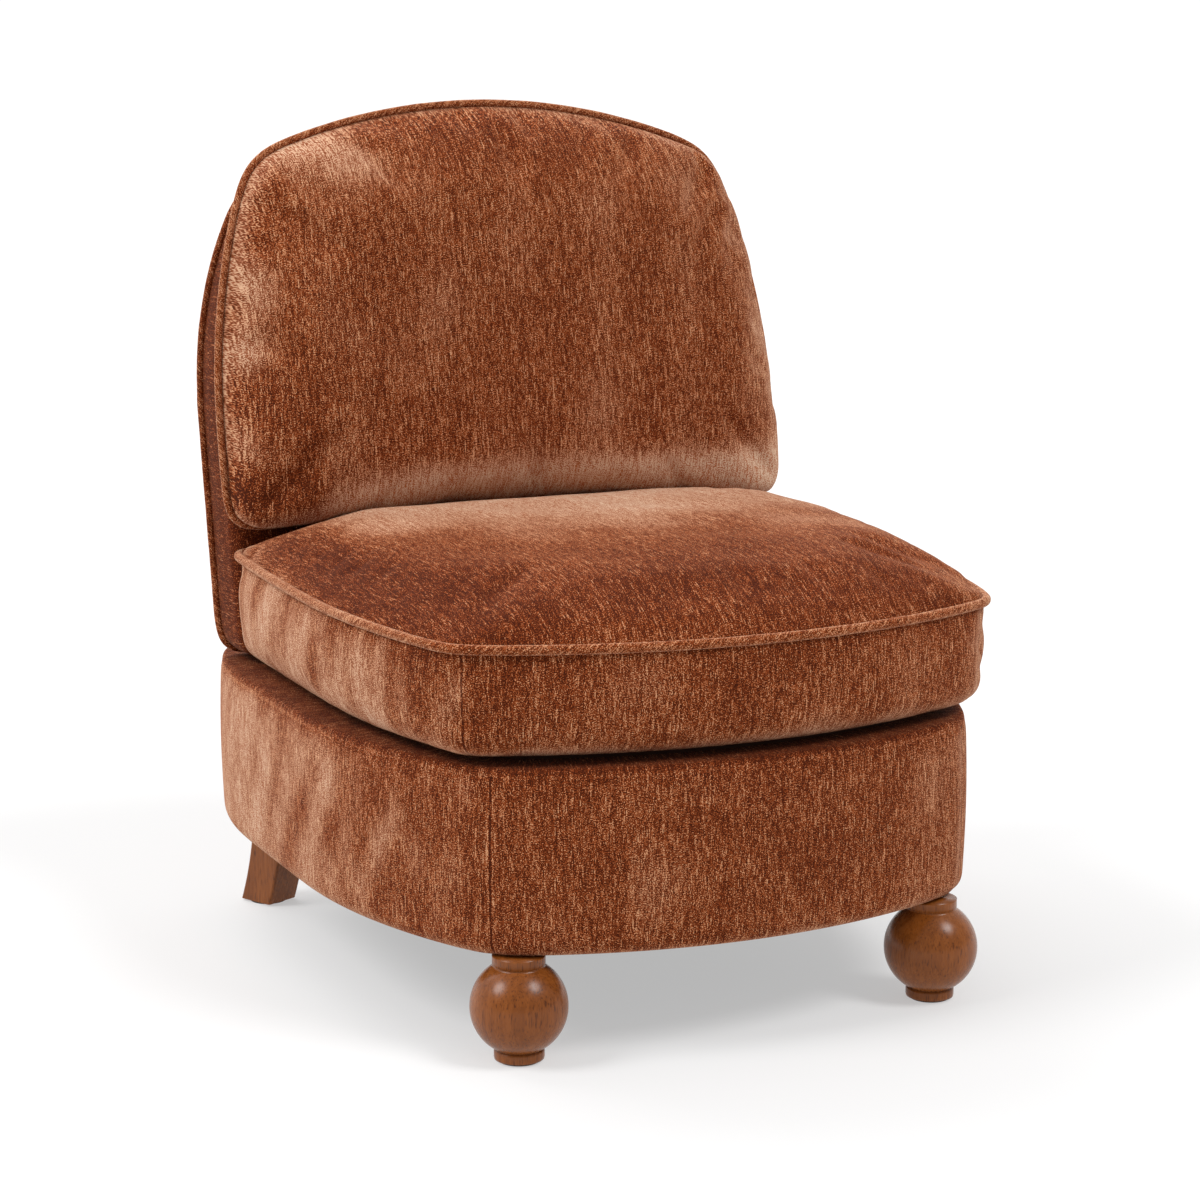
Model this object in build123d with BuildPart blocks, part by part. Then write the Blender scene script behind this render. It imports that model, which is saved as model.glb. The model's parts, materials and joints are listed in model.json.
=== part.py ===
from build123d import *
import os
from math import cos, radians, sin, tan

# Armless slipper chair: padded box base, dome back, two loose cushions, wooden feet.
# Millimetres. The origin is on the floor under the middle, +Z is up, the front faces -Y.

os.makedirs("parts", exist_ok=True)

# Shared clearances and fabric layers
FIT = 0.3                   # gap between neighbouring layers
BOLT_FIT = 0.2              # radial gap round bolts and inserts
WELT_FIT = 0.2              # gap between a welt and the covers beside it
COVER = 2.0                 # cover fabric of the base
SKIN = 3.0                  # cover fabric with wadding on the back and the cushions

# Base box: outline seen from above, heights and soft edges
BASE_HALF_WIDTH = 346.0
BASE_FRONT = -393.0         # middle of the bowed front panel
BASE_SEAM_INSET = 84.0      # vertical seams at the front corners, in from the sides
BASE_SEAM_SETBACK = 60.0    # and behind the middle of the front
BASE_FRONT_TANGENT = -25.0  # the sides are straight from here
BASE_REAR_TANGENT = 165.0   # to here
BASE_REAR_INSET = 43.0      # rear corners, in from the sides
BASE_REAR = 358.0           # middle of the bowed rear panel
BASE_REAR_BOW = 8.0
BASE_SEAM_ROUND = 46.0
BASE_REAR_ROUND = 60.0
BASE_HEIGHT = 185.0
BASE_EDGE = 18.0            # rounding under the bottom edge
BASE_TOP_EDGE = 7.0
COVER_FLANGE = 40.0         # width of the cover turned in underneath
LEDGE = 45.0                # width of the fabric band round the deck

# Wooden base frame
PADDING = 12.0
RAIL = 28.0
RAIL_DROP = 18.0            # rails below the top of the base
RAIL_JOINT_SETBACK = 103.0  # where front and side rails meet, behind the front
RAIL_JOINT_ADVANCE = 73.0   # where rear and side rails meet, in front of the rear
FRONT_BLOCK_INSET = 176.0   # inner faces of the blocks, in from the sides
FRONT_BLOCK_SETBACK = 168.0
FRONT_BLOCK_HEIGHT = 90.0
REAR_BLOCK_INSET = 124.0
REAR_BLOCK_ADVANCE = 146.0
REAR_BLOCK_HEIGHT = 52.0
DUST_CLOTH = 0.8

# Seat webbing and deck
STRAP = 50.0
STRAP_THICK = 1.5
STRAP_PITCH = 105.0
LENGTH_STRAPS = 5
CROSS_STRAPS = 4
CROSS_STRAP_MID = -60.0
STRAP_HOLD = 20.0           # distance of the strap ends from the outside
DECK_RISE = 4.0             # deck pad above the ledge
DECK_CLOTH = 1.5
DECK_GAP = 5.0              # between the deck and the back

# Back frame
RECLINE = 11.0
BACK_ADVANCE = 150.0        # front face at the bottom, in front of the base's rear
BACK_DEPTH = 77.6
BACK_INSET = 19.0           # sides of the back, in from the base
BACK_STRAIGHT = 270.5       # straight part of the sides
BACK_SHOULDER_INSET = 69.0
BACK_SHOULDER_DROP = 47.0   # shoulders below the peak
BACK_PEAK = 563.5
BACK_SHOULDER_ROUND = 60.0
BACK_LOWER_ROUND = 38.0
BACK_EDGE = 14.0
BACK_PAD = 20.7
POST_DEPTH = 45.0
POST_WIDTH = 50.0
POST_INSET = 87.0           # the lower rail ends here, in from the sides
ARCH_START = 290.0          # the posts end here and the arch starts
TONGUE_INSET = 43.0         # in from the sides of the back
TONGUE_WIDTH = 42.0
TONGUE_DEPTH = 36.0
TONGUE_CLEARANCE = 12.5     # tongue above the rear corner block
TONGUE_LAP = 40.0           # tongue height inside the post
MOUNT_RAIL = 25.0
MOUNT_RAIL_DROP = 24.0      # top of the mounting rail below the back
BACK_STRAPS = 4
BACK_STRAP_START = 130.0
BACK_STRAP_PITCH = 100.0
BACK_STRAP_HOLD = 10.0
BOARD = 3.0
BACK_WELT = 4.5
BACK_WELT_INSET = 5.0       # from the rear face
BACK_WELT_PROUD = 2.0       # welt centre outside the border
BACK_COVER_SEAM = 20.0      # depth of the seam between inside back and border
BOLT = 4.0
BOLT_HEAD = 10.0
BOLT_HEAD_THICK = 4.0
NUT = 8.0
NUT_THICK = 7.0
BOLT_UPPER = 45.0           # upper bolts below the back
BOLT_MARGIN = 22.0          # lower bolts above the end of the tongue

# Seat cushion
SEAT_INSET = 10.0           # sides of the cushion, in from the base
SEAT_SETBACK = 5.0          # its front behind the base's
SEAT_SEAM_INSET = 45.0      # front corners
SEAT_SEAM_SETBACK = 70.0
SEAT_FRONT_TANGENT = -40.0
SEAT_REAR_TANGENT = -20.0
SEAT_CORNER_INSET = 8.0     # rear corners
SEAT_REAR_INSET = 9.0       # rear seam in front of the back
SEAT_REAR_BOW = 0.5
SEAT_SEAM_ROUND = 30.0
SEAT_REAR_ROUND = 20.0
SEAT_BOXING = 115.0         # height of the boxing at mid depth
SEAT_TILT = 0.95            # rise of the piping towards the back
SEAT_CROWN = 59.0
SEAT_CROWN_SECTIONS = ((0.42, 18), (0.74, 48), (0.94, 100), (1, 165))  # share of the crown, inset
SEAT_SIDE_SECTIONS = ((0, 30), (3, 17), (14, 4), (55, -2))  # height above the bottom, inset
SEAT_PIPING = 5.0
SEAT_PIPING_PROUD = 3.0     # piping centre outside the seam
SEAT_BOTTOM_BAND = 6.0
SEAT_BOXING_INSET = 52.0    # seams of the boxing, in from the sides
ZIP_INSET = 96.0            # ends of the zip, in from the sides
ZIP_WIDTH = 6.0
ZIP_DROP = 60.0             # zip below the piping

# Back cushion
PILLOW_OVERHANG = 5.0       # wider than the back on each side
PILLOW_STRAIGHT = 258.5
PILLOW_SHOULDER_INSET = 55.0
PILLOW_SHOULDER_DROP = 58.0
PILLOW_RISE = 41.0          # peak above the back's
PILLOW_SINK = 24.5          # lower edge below the crown of the seat
PILLOW_BOTTOM_BOW = 9.0
PILLOW_SHOULDER_ROUND = 70.0
PILLOW_LOWER_ROUND = 48.0
PILLOW_SEAM = 15.0          # welt in front of the back
PILLOW_CROWN = 95.0
PILLOW_CROWN_SECTIONS = ((0.34, 6), (0.64, 20), (0.86, 50), (0.97, 92), (1, 130))  # share of the crown, inset
PILLOW_REAR_INSET = 20.0    # flat rear face inside the welt
PILLOW_WELT = 4.5
PILLOW_WELT_PROUD = 3.0
ROUND_ROOM = 1.3            # straight length that a lower corner needs, in radii

# Feet
FOOT_INSET = 118.0          # front feet, in from the sides
FOOT_SETBACK = 68.0
BALL = 47.5
BALL_LIFT = 6.5             # lowest point of the ball above the floor
BALL_HEADROOM = 3.5         # base above the ball
FOOT_RING = 24.5
FOOT_RING_RISE = 5.5        # top of the ring above the lowest point
FOOT_NECK = 22.5
FOOT_COLLAR = 25.75
FOOT_COLLAR_HEIGHT = 9.5
FOOT_COLLAR_NECK = 24.3
FOOT_ROUND = 1.2
LEG_INSET = 79.0            # rear legs, in from the sides
LEG_ADVANCE = 87.0
LEG_YAW = 64.0              # direction of the sweep, from +X towards +Y
LEG_DEPTH = 46.0
LEG_WIDTH = 42.0
LEG_SWEEP = 22.0
LEG_SWEEP_MID = 7.0
LEG_ROUND = 3.0
LEG_SLOT = 2.0              # play of the cloth round the legs
GLIDE = 20.0
GLIDE_THICK = 2.0
FOOT_BOLT_DOWN = 38.0       # hanger bolt inside the foot
FOOT_BOLT_UP = 30.0         # hanger bolt inside the frame
INSERT = 5.2
INSERT_LENGTH = 18.0

# Derived places
BALL_CENTRE = BALL + BALL_LIFT
FOOT_RING_TOP = BALL_LIFT + FOOT_RING_RISE
BASE_BOTTOM = BALL_CENTRE + BALL + BALL_HEADROOM
BASE_TOP = BASE_BOTTOM + BASE_HEIGHT
FOOT_COLLAR_BOTTOM = BASE_BOTTOM - FOOT_COLLAR_HEIGHT
FOOT_X = BASE_HALF_WIDTH - FOOT_INSET
FOOT_Y = BASE_FRONT + FOOT_SETBACK
LEG_X = BASE_HALF_WIDTH - LEG_INSET
LEG_Y = BASE_REAR - LEG_ADVANCE
BASE_SEAM_X = BASE_HALF_WIDTH - BASE_SEAM_INSET
BASE_SEAM_Y = BASE_FRONT + BASE_SEAM_SETBACK
BASE_REAR_X = BASE_HALF_WIDTH - BASE_REAR_INSET
BASE_REAR_Y = BASE_REAR - BASE_REAR_BOW
RAIL_TOP = BASE_TOP - RAIL_DROP
RAIL_JOINT_FRONT = BASE_FRONT + RAIL_JOINT_SETBACK
RAIL_JOINT_REAR = BASE_REAR - RAIL_JOINT_ADVANCE
FRONT_BLOCK_X = BASE_HALF_WIDTH - FRONT_BLOCK_INSET
FRONT_BLOCK_Y = BASE_FRONT + FRONT_BLOCK_SETBACK
REAR_BLOCK_X = BASE_HALF_WIDTH - REAR_BLOCK_INSET
REAR_BLOCK_Y = BASE_REAR - REAR_BLOCK_ADVANCE
BACK_FRONT = BASE_REAR - BACK_ADVANCE
BACK_HALF_WIDTH = BASE_HALF_WIDTH - BACK_INSET
BACK_SHOULDER_X = BACK_HALF_WIDTH - BACK_SHOULDER_INSET
BACK_SHOULDER = BACK_PEAK - BACK_SHOULDER_DROP
POST_INSIDE = BACK_HALF_WIDTH - POST_INSET
TONGUE_OUTSIDE = BACK_HALF_WIDTH - TONGUE_INSET
TONGUE_INSIDE = TONGUE_OUTSIDE - TONGUE_WIDTH
SEAT_HALF_WIDTH = BASE_HALF_WIDTH - SEAT_INSET
SEAT_FRONT = BASE_FRONT + SEAT_SETBACK
SEAT_SEAM_X = SEAT_HALF_WIDTH - SEAT_SEAM_INSET
SEAT_SEAM_Y = SEAT_FRONT + SEAT_SEAM_SETBACK
SEAT_REAR_X = SEAT_HALF_WIDTH - SEAT_CORNER_INSET
SEAT_BOXING_SEAM = SEAT_HALF_WIDTH - SEAT_BOXING_INSET
ZIP_HALF_LENGTH = SEAT_HALF_WIDTH - ZIP_INSET
PILLOW_HALF_WIDTH = BACK_HALF_WIDTH + PILLOW_OVERHANG
PILLOW_SHOULDER_X = PILLOW_HALF_WIDTH - PILLOW_SHOULDER_INSET
PILLOW_PEAK = BACK_PEAK + PILLOW_RISE
PILLOW_SHOULDER = PILLOW_PEAK - PILLOW_SHOULDER_DROP
PILLOW_BOTTOM = SEAT_BOXING + SEAT_CROWN - PILLOW_SINK
RAIL_BOTTOM = BASE_BOTTOM + COVER + 2 * FIT
RAIL_OUT = COVER + FIT + PADDING + FIT
RAIL_IN = RAIL_OUT + RAIL
DECK_REAR = BACK_FRONT - DECK_GAP
DECK_TOP = BASE_TOP + DECK_RISE + FIT + DECK_CLOTH
BACK_BOTTOM = BASE_TOP + BACK_WELT + BACK_WELT_PROUD + FIT
PAD_BACK = SKIN + FIT + BACK_PAD
WOOD_FRONT = PAD_BACK + FIT + STRAP_THICK + FIT
SEAT_BOTTOM = DECK_TOP + FIT
SEAT_SEAM_HEIGHT = SEAT_BOTTOM + SEAT_BOXING
LEAN = tan(radians(RECLINE))
TONGUE_DROP = BACK_BOTTOM - RAIL_BOTTOM - REAR_BLOCK_HEIGHT - TONGUE_CLEARANCE
TONGUE_LENGTH = TONGUE_DROP / cos(radians(RECLINE))
BOLT_LOWER = TONGUE_LENGTH - BOLT_MARGIN


def corner_step(half_width, tangent, corner_x, corner_y, end):
    """Move of a corner between a side arc and an end arc for each millimetre of margin."""
    chord = corner_x**2 + (corner_y - end) ** 2
    end_radius = chord / (2 * (corner_y - end))
    end_normal = Vector(corner_x, corner_y - end - end_radius) / abs(end_radius)
    inset = half_width - corner_x
    side_radius = (inset**2 + (tangent - corner_y) ** 2) / (2 * inset)
    side_normal = Vector(side_radius - inset, corner_y - tangent) / side_radius
    return (end_normal + side_normal) / (1 + end_normal.dot(side_normal))


def bowed_end(half_width, tangent, corner, end):
    """Draw one bowed end of an outline: two side arcs that meet an end arc at the corners."""
    ThreePointArc(corner, (0, end), (-corner.X, corner.Y))
    for side in (1, -1):
        start = (side * half_width, tangent)
        TangentArc(start, (side * corner.X, corner.Y), tangent=(0, corner.Y - tangent))


def bowed_plan(plane, margin, half_width, front, seam, tangents, rear_corner, rear, rounds):
    """Outline seen from above, with bowed front and rear, drawn in by margin all round."""
    front_step = corner_step(half_width, tangents[0], *seam, front)
    rear_step = corner_step(half_width, tangents[1], *rear_corner, rear)
    width = half_width - margin
    with BuildSketch(plane) as plan:
        with BuildLine():
            bowed_end(width, tangents[0], Vector(*seam) - front_step * margin, front + margin)
            bowed_end(width, tangents[1], Vector(*rear_corner) - rear_step * margin, rear - margin)
            for side in (1, -1):
                Line((side * width, tangents[0]), (side * width, tangents[1]))
        make_face()
        fillet(plan.vertices().group_by(Axis.Y)[0], rounds[0])
        fillet(plan.vertices().group_by(Axis.Y)[-1], rounds[1])
    return plan.sketch


def base_plan(margin, height):
    """Outline of the base at a height, drawn in by margin."""
    return bowed_plan(
        Plane.XY.offset(height), margin, BASE_HALF_WIDTH, BASE_FRONT, (BASE_SEAM_X, BASE_SEAM_Y),
        (BASE_FRONT_TANGENT, BASE_REAR_TANGENT), (BASE_REAR_X, BASE_REAR_Y), BASE_REAR,
        (BASE_SEAM_ROUND, BASE_REAR_ROUND),
    )


def base_prism(margin, bottom, top):
    """Upright block inside the base outline."""
    with BuildPart() as prism:
        extrude(base_plan(margin, bottom), amount=top - bottom)
    return prism.part


def base_form(margin):
    """Padded box of the base, smaller by margin on every face."""
    with BuildPart() as form:
        add(base_prism(margin, BASE_BOTTOM + margin, BASE_TOP - margin))
        fillet(form.faces().sort_by(Axis.Z)[0].edges(), BASE_EDGE - margin)
        fillet(form.faces().sort_by(Axis.Z)[-1].edges(), BASE_TOP_EDGE - margin)
    return form.part


def dome(plane, margin, half_width, bottom, bow, straight, shoulder, peak, rounds):
    """Dome outline on a plane of the back, drawn in by margin all round."""
    step = corner_step(half_width, straight, *shoulder, peak)
    width = half_width - margin
    floor = bottom + margin
    tangent = max(straight, floor + ROUND_ROOM * rounds[0])
    with BuildSketch(plane) as face:
        with BuildLine():
            bowed_end(width, tangent, Vector(*shoulder) - step * margin, peak - margin)
            for side in (1, -1):
                Line((side * width, tangent), (side * width, floor))
            if bow:
                ThreePointArc((width, floor), (0, floor + bow), (-width, floor))
            else:
                Line((width, floor), (-width, floor))
        make_face()
        fillet(face.vertices().group_by(Axis.Y)[0], rounds[0])
        fillet(face.vertices().group_by(Axis.Y)[-1], rounds[1])
    return face.sketch


def back_plane(depth):
    """Plane of the reclined back, at a depth behind its front face."""
    normal = (0, -cos(radians(RECLINE)), sin(radians(RECLINE)))
    return Plane(origin=(0, BACK_FRONT + depth, BACK_BOTTOM), x_dir=(1, 0, 0), z_dir=normal)


def back_dome(margin, depth):
    """Outline of the back at a depth, drawn in by margin."""
    return dome(
        back_plane(depth), margin, BACK_HALF_WIDTH, 0, 0, BACK_STRAIGHT,
        (BACK_SHOULDER_X, BACK_SHOULDER), BACK_PEAK, (BACK_LOWER_ROUND, BACK_SHOULDER_ROUND),
    )


def back_prism(margin, front, depth):
    """Layer of the back, from its front depth backwards."""
    with BuildPart() as prism:
        extrude(back_dome(margin, front), amount=depth, dir=(0, 1, 0))
    return prism.part


def back_form(margin, depth):
    """Layer of the back with its rounded front edge, smaller by margin."""
    with BuildPart() as form:
        add(back_prism(margin, margin, depth))
        forward = Axis((0, 0, 0), back_plane(0).z_dir)
        fillet(form.faces().sort_by(forward)[-1].edges(), BACK_EDGE - margin)
    return form.part


def seam_tube(outline, radius):
    """Round cord along an outline."""
    path = outline.face().outer_wire()
    with BuildPart() as tube:
        with BuildSketch(Plane(origin=path @ 0, z_dir=path % 0)):
            Circle(radius)
        sweep(path=path)
    return tube.part


def seat_seam_plane(rise):
    """Plane of the seat piping, moved up by rise."""
    return Plane.XY.rotated((SEAT_TILT, 0, 0)).move(Location((0, 0, SEAT_SEAM_HEIGHT))).offset(rise)


def seat_plan(plane, margin):
    """Outline of the seat cushion on a plane, drawn in by margin."""
    height = plane.origin.Z - BACK_BOTTOM
    rear = BACK_FRONT + LEAN * height - SEAT_REAR_INSET
    return bowed_plan(
        plane, margin, SEAT_HALF_WIDTH, SEAT_FRONT, (SEAT_SEAM_X, SEAT_SEAM_Y),
        (SEAT_FRONT_TANGENT, SEAT_REAR_TANGENT), (SEAT_REAR_X, rear - SEAT_REAR_BOW), rear,
        (SEAT_SEAM_ROUND, SEAT_REAR_ROUND),
    )


def seat_form(margin):
    """Crowned seat cushion, smaller by margin on every face."""
    with BuildPart() as form:
        sides = [
            seat_plan(Plane.XY.offset(SEAT_BOTTOM + max(rise, margin)), inset + margin)
            for rise, inset in SEAT_SIDE_SECTIONS
        ]
        seam = seat_plan(seat_seam_plane(0), margin)
        tops = [
            seat_plan(seat_seam_plane((SEAT_CROWN - margin) * share), inset + margin)
            for share, inset in SEAT_CROWN_SECTIONS
        ]
        loft([*sides, seam])
        loft([seam, *tops])
    return form.part


def pillow_dome(margin, depth):
    """Outline of the back cushion at a depth behind the back's front face."""
    return dome(
        back_plane(depth), margin, PILLOW_HALF_WIDTH, PILLOW_BOTTOM, PILLOW_BOTTOM_BOW,
        PILLOW_STRAIGHT, (PILLOW_SHOULDER_X, PILLOW_SHOULDER), PILLOW_PEAK,
        (PILLOW_LOWER_ROUND, PILLOW_SHOULDER_ROUND),
    )


def pillow_form(margin):
    """Crowned back cushion, smaller by margin on every face."""
    with BuildPart() as form:
        seam = pillow_dome(margin, -PILLOW_SEAM)
        fronts = [
            pillow_dome(inset + margin, -PILLOW_SEAM - (PILLOW_CROWN - margin) * share)
            for share, inset in PILLOW_CROWN_SECTIONS
        ]
        loft([pillow_dome(PILLOW_REAR_INSET + margin, -FIT - margin), seam])
        loft([seam, *fronts])
    return form.part


def save(piece, name):
    """Label a finished piece and write it."""
    piece.label = name
    export_step(piece, f"parts/{name}.step")


def side_plane(x):
    """Upright plane across X, facing +X."""
    return Plane.YZ.offset(x)


SIDES = (("left", -1), ("right", 1))


# Base rails: one bowed ring of wood, cut into four rails
with BuildPart() as rail_ring:
    add(base_prism(RAIL_OUT, RAIL_BOTTOM, RAIL_TOP))
    add(base_prism(RAIL_IN, RAIL_BOTTOM, RAIL_TOP), mode=Mode.SUBTRACT)
    for side in (1, -1):
        with Locations((side * FOOT_X, FOOT_Y, RAIL_BOTTOM)):
            Cylinder(
                INSERT + BOLT_FIT, FOOT_BOLT_UP + FIT, mode=Mode.SUBTRACT,
                align=(Align.CENTER, Align.CENTER, Align.MIN),
            )


def ring_piece(ring, low, high):
    """Stretch of a ring between two upright planes across Y."""
    with BuildPart() as piece:
        add(ring)
        split(bisect_by=Plane((0, low, 0), x_dir=(1, 0, 0), z_dir=(0, 1, 0)), keep=Keep.TOP)
        split(bisect_by=Plane((0, high, 0), x_dir=(1, 0, 0), z_dir=(0, 1, 0)), keep=Keep.BOTTOM)
    return piece.part


def side_piece(ring, side, limit):
    """Part of a ring beyond an upright plane on one side."""
    with BuildPart() as piece:
        add(ring)
        keep = Keep.TOP if side > 0 else Keep.BOTTOM
        split(bisect_by=side_plane(side * limit), keep=keep)
    return piece.part


FAR = 2 * BASE_REAR
save(ring_piece(rail_ring.part, -FAR, RAIL_JOINT_FRONT), "front_rail")
save(ring_piece(rail_ring.part, RAIL_JOINT_REAR, FAR), "rear_rail")
for name, side in SIDES:
    rail = side_piece(ring_piece(rail_ring.part, RAIL_JOINT_FRONT, RAIL_JOINT_REAR), side, 0)
    save(rail, f"{name}_side_rail")


# Corner blocks inside the rails: the rear ones take the legs
def corner_block(side, x, y, depth_sign, height):
    """Block in one corner of the base, cut to the inside of the rails."""
    with BuildPart() as block:
        with Locations((side * x, y, RAIL_BOTTOM)):
            Box(
                BASE_HALF_WIDTH, BASE_HALF_WIDTH, height,
                align=(
                    Align.MIN if side > 0 else Align.MAX,
                    Align.MIN if depth_sign > 0 else Align.MAX,
                    Align.MIN,
                ),
            )
        add(base_prism(RAIL_IN + FIT, RAIL_BOTTOM, RAIL_TOP), mode=Mode.INTERSECT)
        if depth_sign > 0:
            with Locations((side * LEG_X, LEG_Y, RAIL_BOTTOM)):
                Cylinder(
                    INSERT + BOLT_FIT, FOOT_BOLT_UP + FIT, mode=Mode.SUBTRACT,
                    align=(Align.CENTER, Align.CENTER, Align.MIN),
                )
    return block.part


for name, side in SIDES:
    save(
        corner_block(side, FRONT_BLOCK_X, FRONT_BLOCK_Y, -1, FRONT_BLOCK_HEIGHT),
        f"front_corner_block_{name}",
    )
    save(
        corner_block(side, REAR_BLOCK_X, REAR_BLOCK_Y, 1, REAR_BLOCK_HEIGHT),
        f"rear_corner_block_{name}",
    )

# Base padding: soft ring round the rails, in four stretches
with BuildPart() as padding_ring:
    add(base_form(COVER + FIT))
    add(base_prism(RAIL_OUT - FIT, BASE_BOTTOM, BASE_TOP), mode=Mode.SUBTRACT)

save(ring_piece(padding_ring.part, -FAR, RAIL_JOINT_FRONT), "base_padding_front")
save(ring_piece(padding_ring.part, RAIL_JOINT_REAR, FAR), "base_padding_rear")
for name, side in SIDES:
    pad = side_piece(ring_piece(padding_ring.part, RAIL_JOINT_FRONT, RAIL_JOINT_REAR), side, 0)
    save(pad, f"base_padding_{name}")

# Back posts, arch and lower rail: one dome of wood, cut where the pieces meet
with BuildPart() as wood_dome:
    add(back_prism(SKIN + FIT, WOOD_FRONT, POST_DEPTH))
    add(back_prism(SKIN + FIT + POST_WIDTH, WOOD_FRONT, POST_DEPTH), mode=Mode.SUBTRACT)

ACROSS_BACK = (0, sin(radians(RECLINE)), cos(radians(RECLINE)))
arch_origin = back_plane(WOOD_FRONT).from_local_coords((0, ARCH_START, 0))
ARCH_PLANE = Plane(origin=arch_origin, x_dir=(1, 0, 0), z_dir=ACROSS_BACK)
BOLT_SPOTS = [
    (side * (TONGUE_INSIDE + TONGUE_OUTSIDE) / 2, -drop)
    for side in (1, -1)
    for drop in (BOLT_UPPER, BOLT_LOWER)
]
BOLT_GRIP = (MOUNT_RAIL + TONGUE_DEPTH) * cos(radians(RECLINE))

with BuildPart() as back_arch:
    add(wood_dome.part)
    split(bisect_by=ARCH_PLANE, keep=Keep.TOP)
save(back_arch.part, "back_arch")

with BuildPart() as lower_dome:
    add(wood_dome.part)
    split(bisect_by=ARCH_PLANE, keep=Keep.BOTTOM)

with BuildPart() as back_lower_rail:
    add(lower_dome.part)
    split(bisect_by=side_plane(POST_INSIDE), keep=Keep.BOTTOM)
    split(bisect_by=side_plane(-POST_INSIDE), keep=Keep.TOP)
save(back_lower_rail.part, "back_lower_rail")

for name, side in SIDES:
    with BuildPart() as back_post:
        add(side_piece(lower_dome.part, side, POST_INSIDE))
        with BuildSketch(back_plane(WOOD_FRONT)):
            with Locations((side * (TONGUE_INSIDE + TONGUE_OUTSIDE) / 2, TONGUE_LAP)):
                Rectangle(
                    TONGUE_OUTSIDE - TONGUE_INSIDE, TONGUE_LENGTH + TONGUE_LAP,
                    align=(Align.CENTER, Align.MAX),
                )
        extrude(amount=TONGUE_DEPTH, dir=(0, 1, 0))
        with BuildSketch(back_plane(WOOD_FRONT - MOUNT_RAIL)):
            with Locations(*BOLT_SPOTS):
                Circle(BOLT + BOLT_FIT)
        extrude(amount=-2 * BOLT_GRIP, mode=Mode.SUBTRACT)
    save(back_post.part, f"back_post_{name}")

with BuildPart() as back_mounting_rail:
    with BuildSketch(back_plane(WOOD_FRONT - MOUNT_RAIL)):
        with Locations((0, -MOUNT_RAIL_DROP)):
            Rectangle(
                2 * BASE_HALF_WIDTH, TONGUE_LENGTH - MOUNT_RAIL_DROP, align=(Align.CENTER, Align.MAX)
            )
    extrude(amount=MOUNT_RAIL, dir=(0, 1, 0))
    add(base_prism(RAIL_IN + FIT, RAIL_BOTTOM, RAIL_TOP), mode=Mode.INTERSECT)
    with BuildSketch(back_plane(WOOD_FRONT - MOUNT_RAIL)):
        with Locations(*BOLT_SPOTS):
            Circle(BOLT + BOLT_FIT)
    extrude(amount=-BOLT_GRIP, mode=Mode.SUBTRACT)
save(back_mounting_rail.part, "back_mounting_rail")

with BuildPart() as back_bolts:
    with BuildSketch(back_plane(WOOD_FRONT - MOUNT_RAIL)):
        with Locations(*BOLT_SPOTS):
            Circle(BOLT_HEAD)
    extrude(amount=BOLT_HEAD_THICK)
    with BuildSketch(back_plane(WOOD_FRONT - MOUNT_RAIL)):
        with Locations(*BOLT_SPOTS):
            Circle(BOLT)
    extrude(amount=-BOLT_GRIP - NUT_THICK)
save(back_bolts.part, "back_bolts")

with BuildPart() as back_bolt_nuts:
    with BuildSketch(back_plane(WOOD_FRONT - MOUNT_RAIL).offset(-BOLT_GRIP)):
        with Locations(*BOLT_SPOTS):
            RegularPolygon(NUT, 6)
            Circle(BOLT + BOLT_FIT, mode=Mode.SUBTRACT)
    extrude(amount=-NUT_THICK)
save(back_bolt_nuts.part, "back_bolt_nuts")

# Tongues pass through the rear shelf of the deck
with BuildPart() as tongue_slots:
    for side in (1, -1):
        with BuildSketch(back_plane(WOOD_FRONT - FIT)):
            with Locations((side * (TONGUE_INSIDE + TONGUE_OUTSIDE) / 2, TONGUE_LAP)):
                Rectangle(
                    TONGUE_OUTSIDE - TONGUE_INSIDE + 2 * FIT, TONGUE_LENGTH + TONGUE_LAP,
                    align=(Align.CENTER, Align.MAX),
                )
        extrude(amount=TONGUE_DEPTH + 2 * FIT, dir=(0, 1, 0))

# Legs pass through the cloth underneath
with BuildPart() as leg_slots:
    for side in (1, -1):
        with BuildSketch():
            with Locations(Location((side * LEG_X, LEG_Y), 90 + side * (LEG_YAW - 90))):
                Rectangle(LEG_DEPTH + LEG_SLOT, LEG_WIDTH + LEG_SLOT)
        extrude(amount=RAIL_BOTTOM)

# Base covers: one skin, cut at the vertical seams and round the top edge
with BuildPart() as base_skin:
    add(base_form(0))
    add(base_form(COVER), mode=Mode.SUBTRACT)
    add(base_prism(COVER_FLANGE, 0, RAIL_BOTTOM), mode=Mode.SUBTRACT)
    add(leg_slots.part, mode=Mode.SUBTRACT)
    for side in (1, -1):
        with Locations((side * FOOT_X, FOOT_Y, BASE_BOTTOM)):
            Cylinder(BOLT + FIT, 2 * COVER + FIT, mode=Mode.SUBTRACT)

SEAM_HEIGHT = BASE_TOP - BASE_TOP_EDGE
with BuildPart() as base_panels:
    add(base_skin.part)
    split(bisect_by=Plane.XY.offset(SEAM_HEIGHT), keep=Keep.BOTTOM)

with BuildPart() as middle_panels:
    add(base_panels.part)
    split(bisect_by=side_plane(BASE_SEAM_X), keep=Keep.BOTTOM)
    split(bisect_by=side_plane(-BASE_SEAM_X), keep=Keep.TOP)

save(ring_piece(middle_panels.part, -FAR, 0), "base_cover_front")
save(ring_piece(middle_panels.part, 0, FAR), "base_cover_rear")
for name, side in SIDES:
    save(side_piece(base_panels.part, side, BASE_SEAM_X), f"base_cover_{name}")

with BuildPart() as deck_opening:
    add(base_prism(LEDGE, RAIL_TOP, DECK_TOP))
    split(bisect_by=Plane((0, DECK_REAR, 0), x_dir=(1, 0, 0), z_dir=(0, 1, 0)), keep=Keep.BOTTOM)

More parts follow.
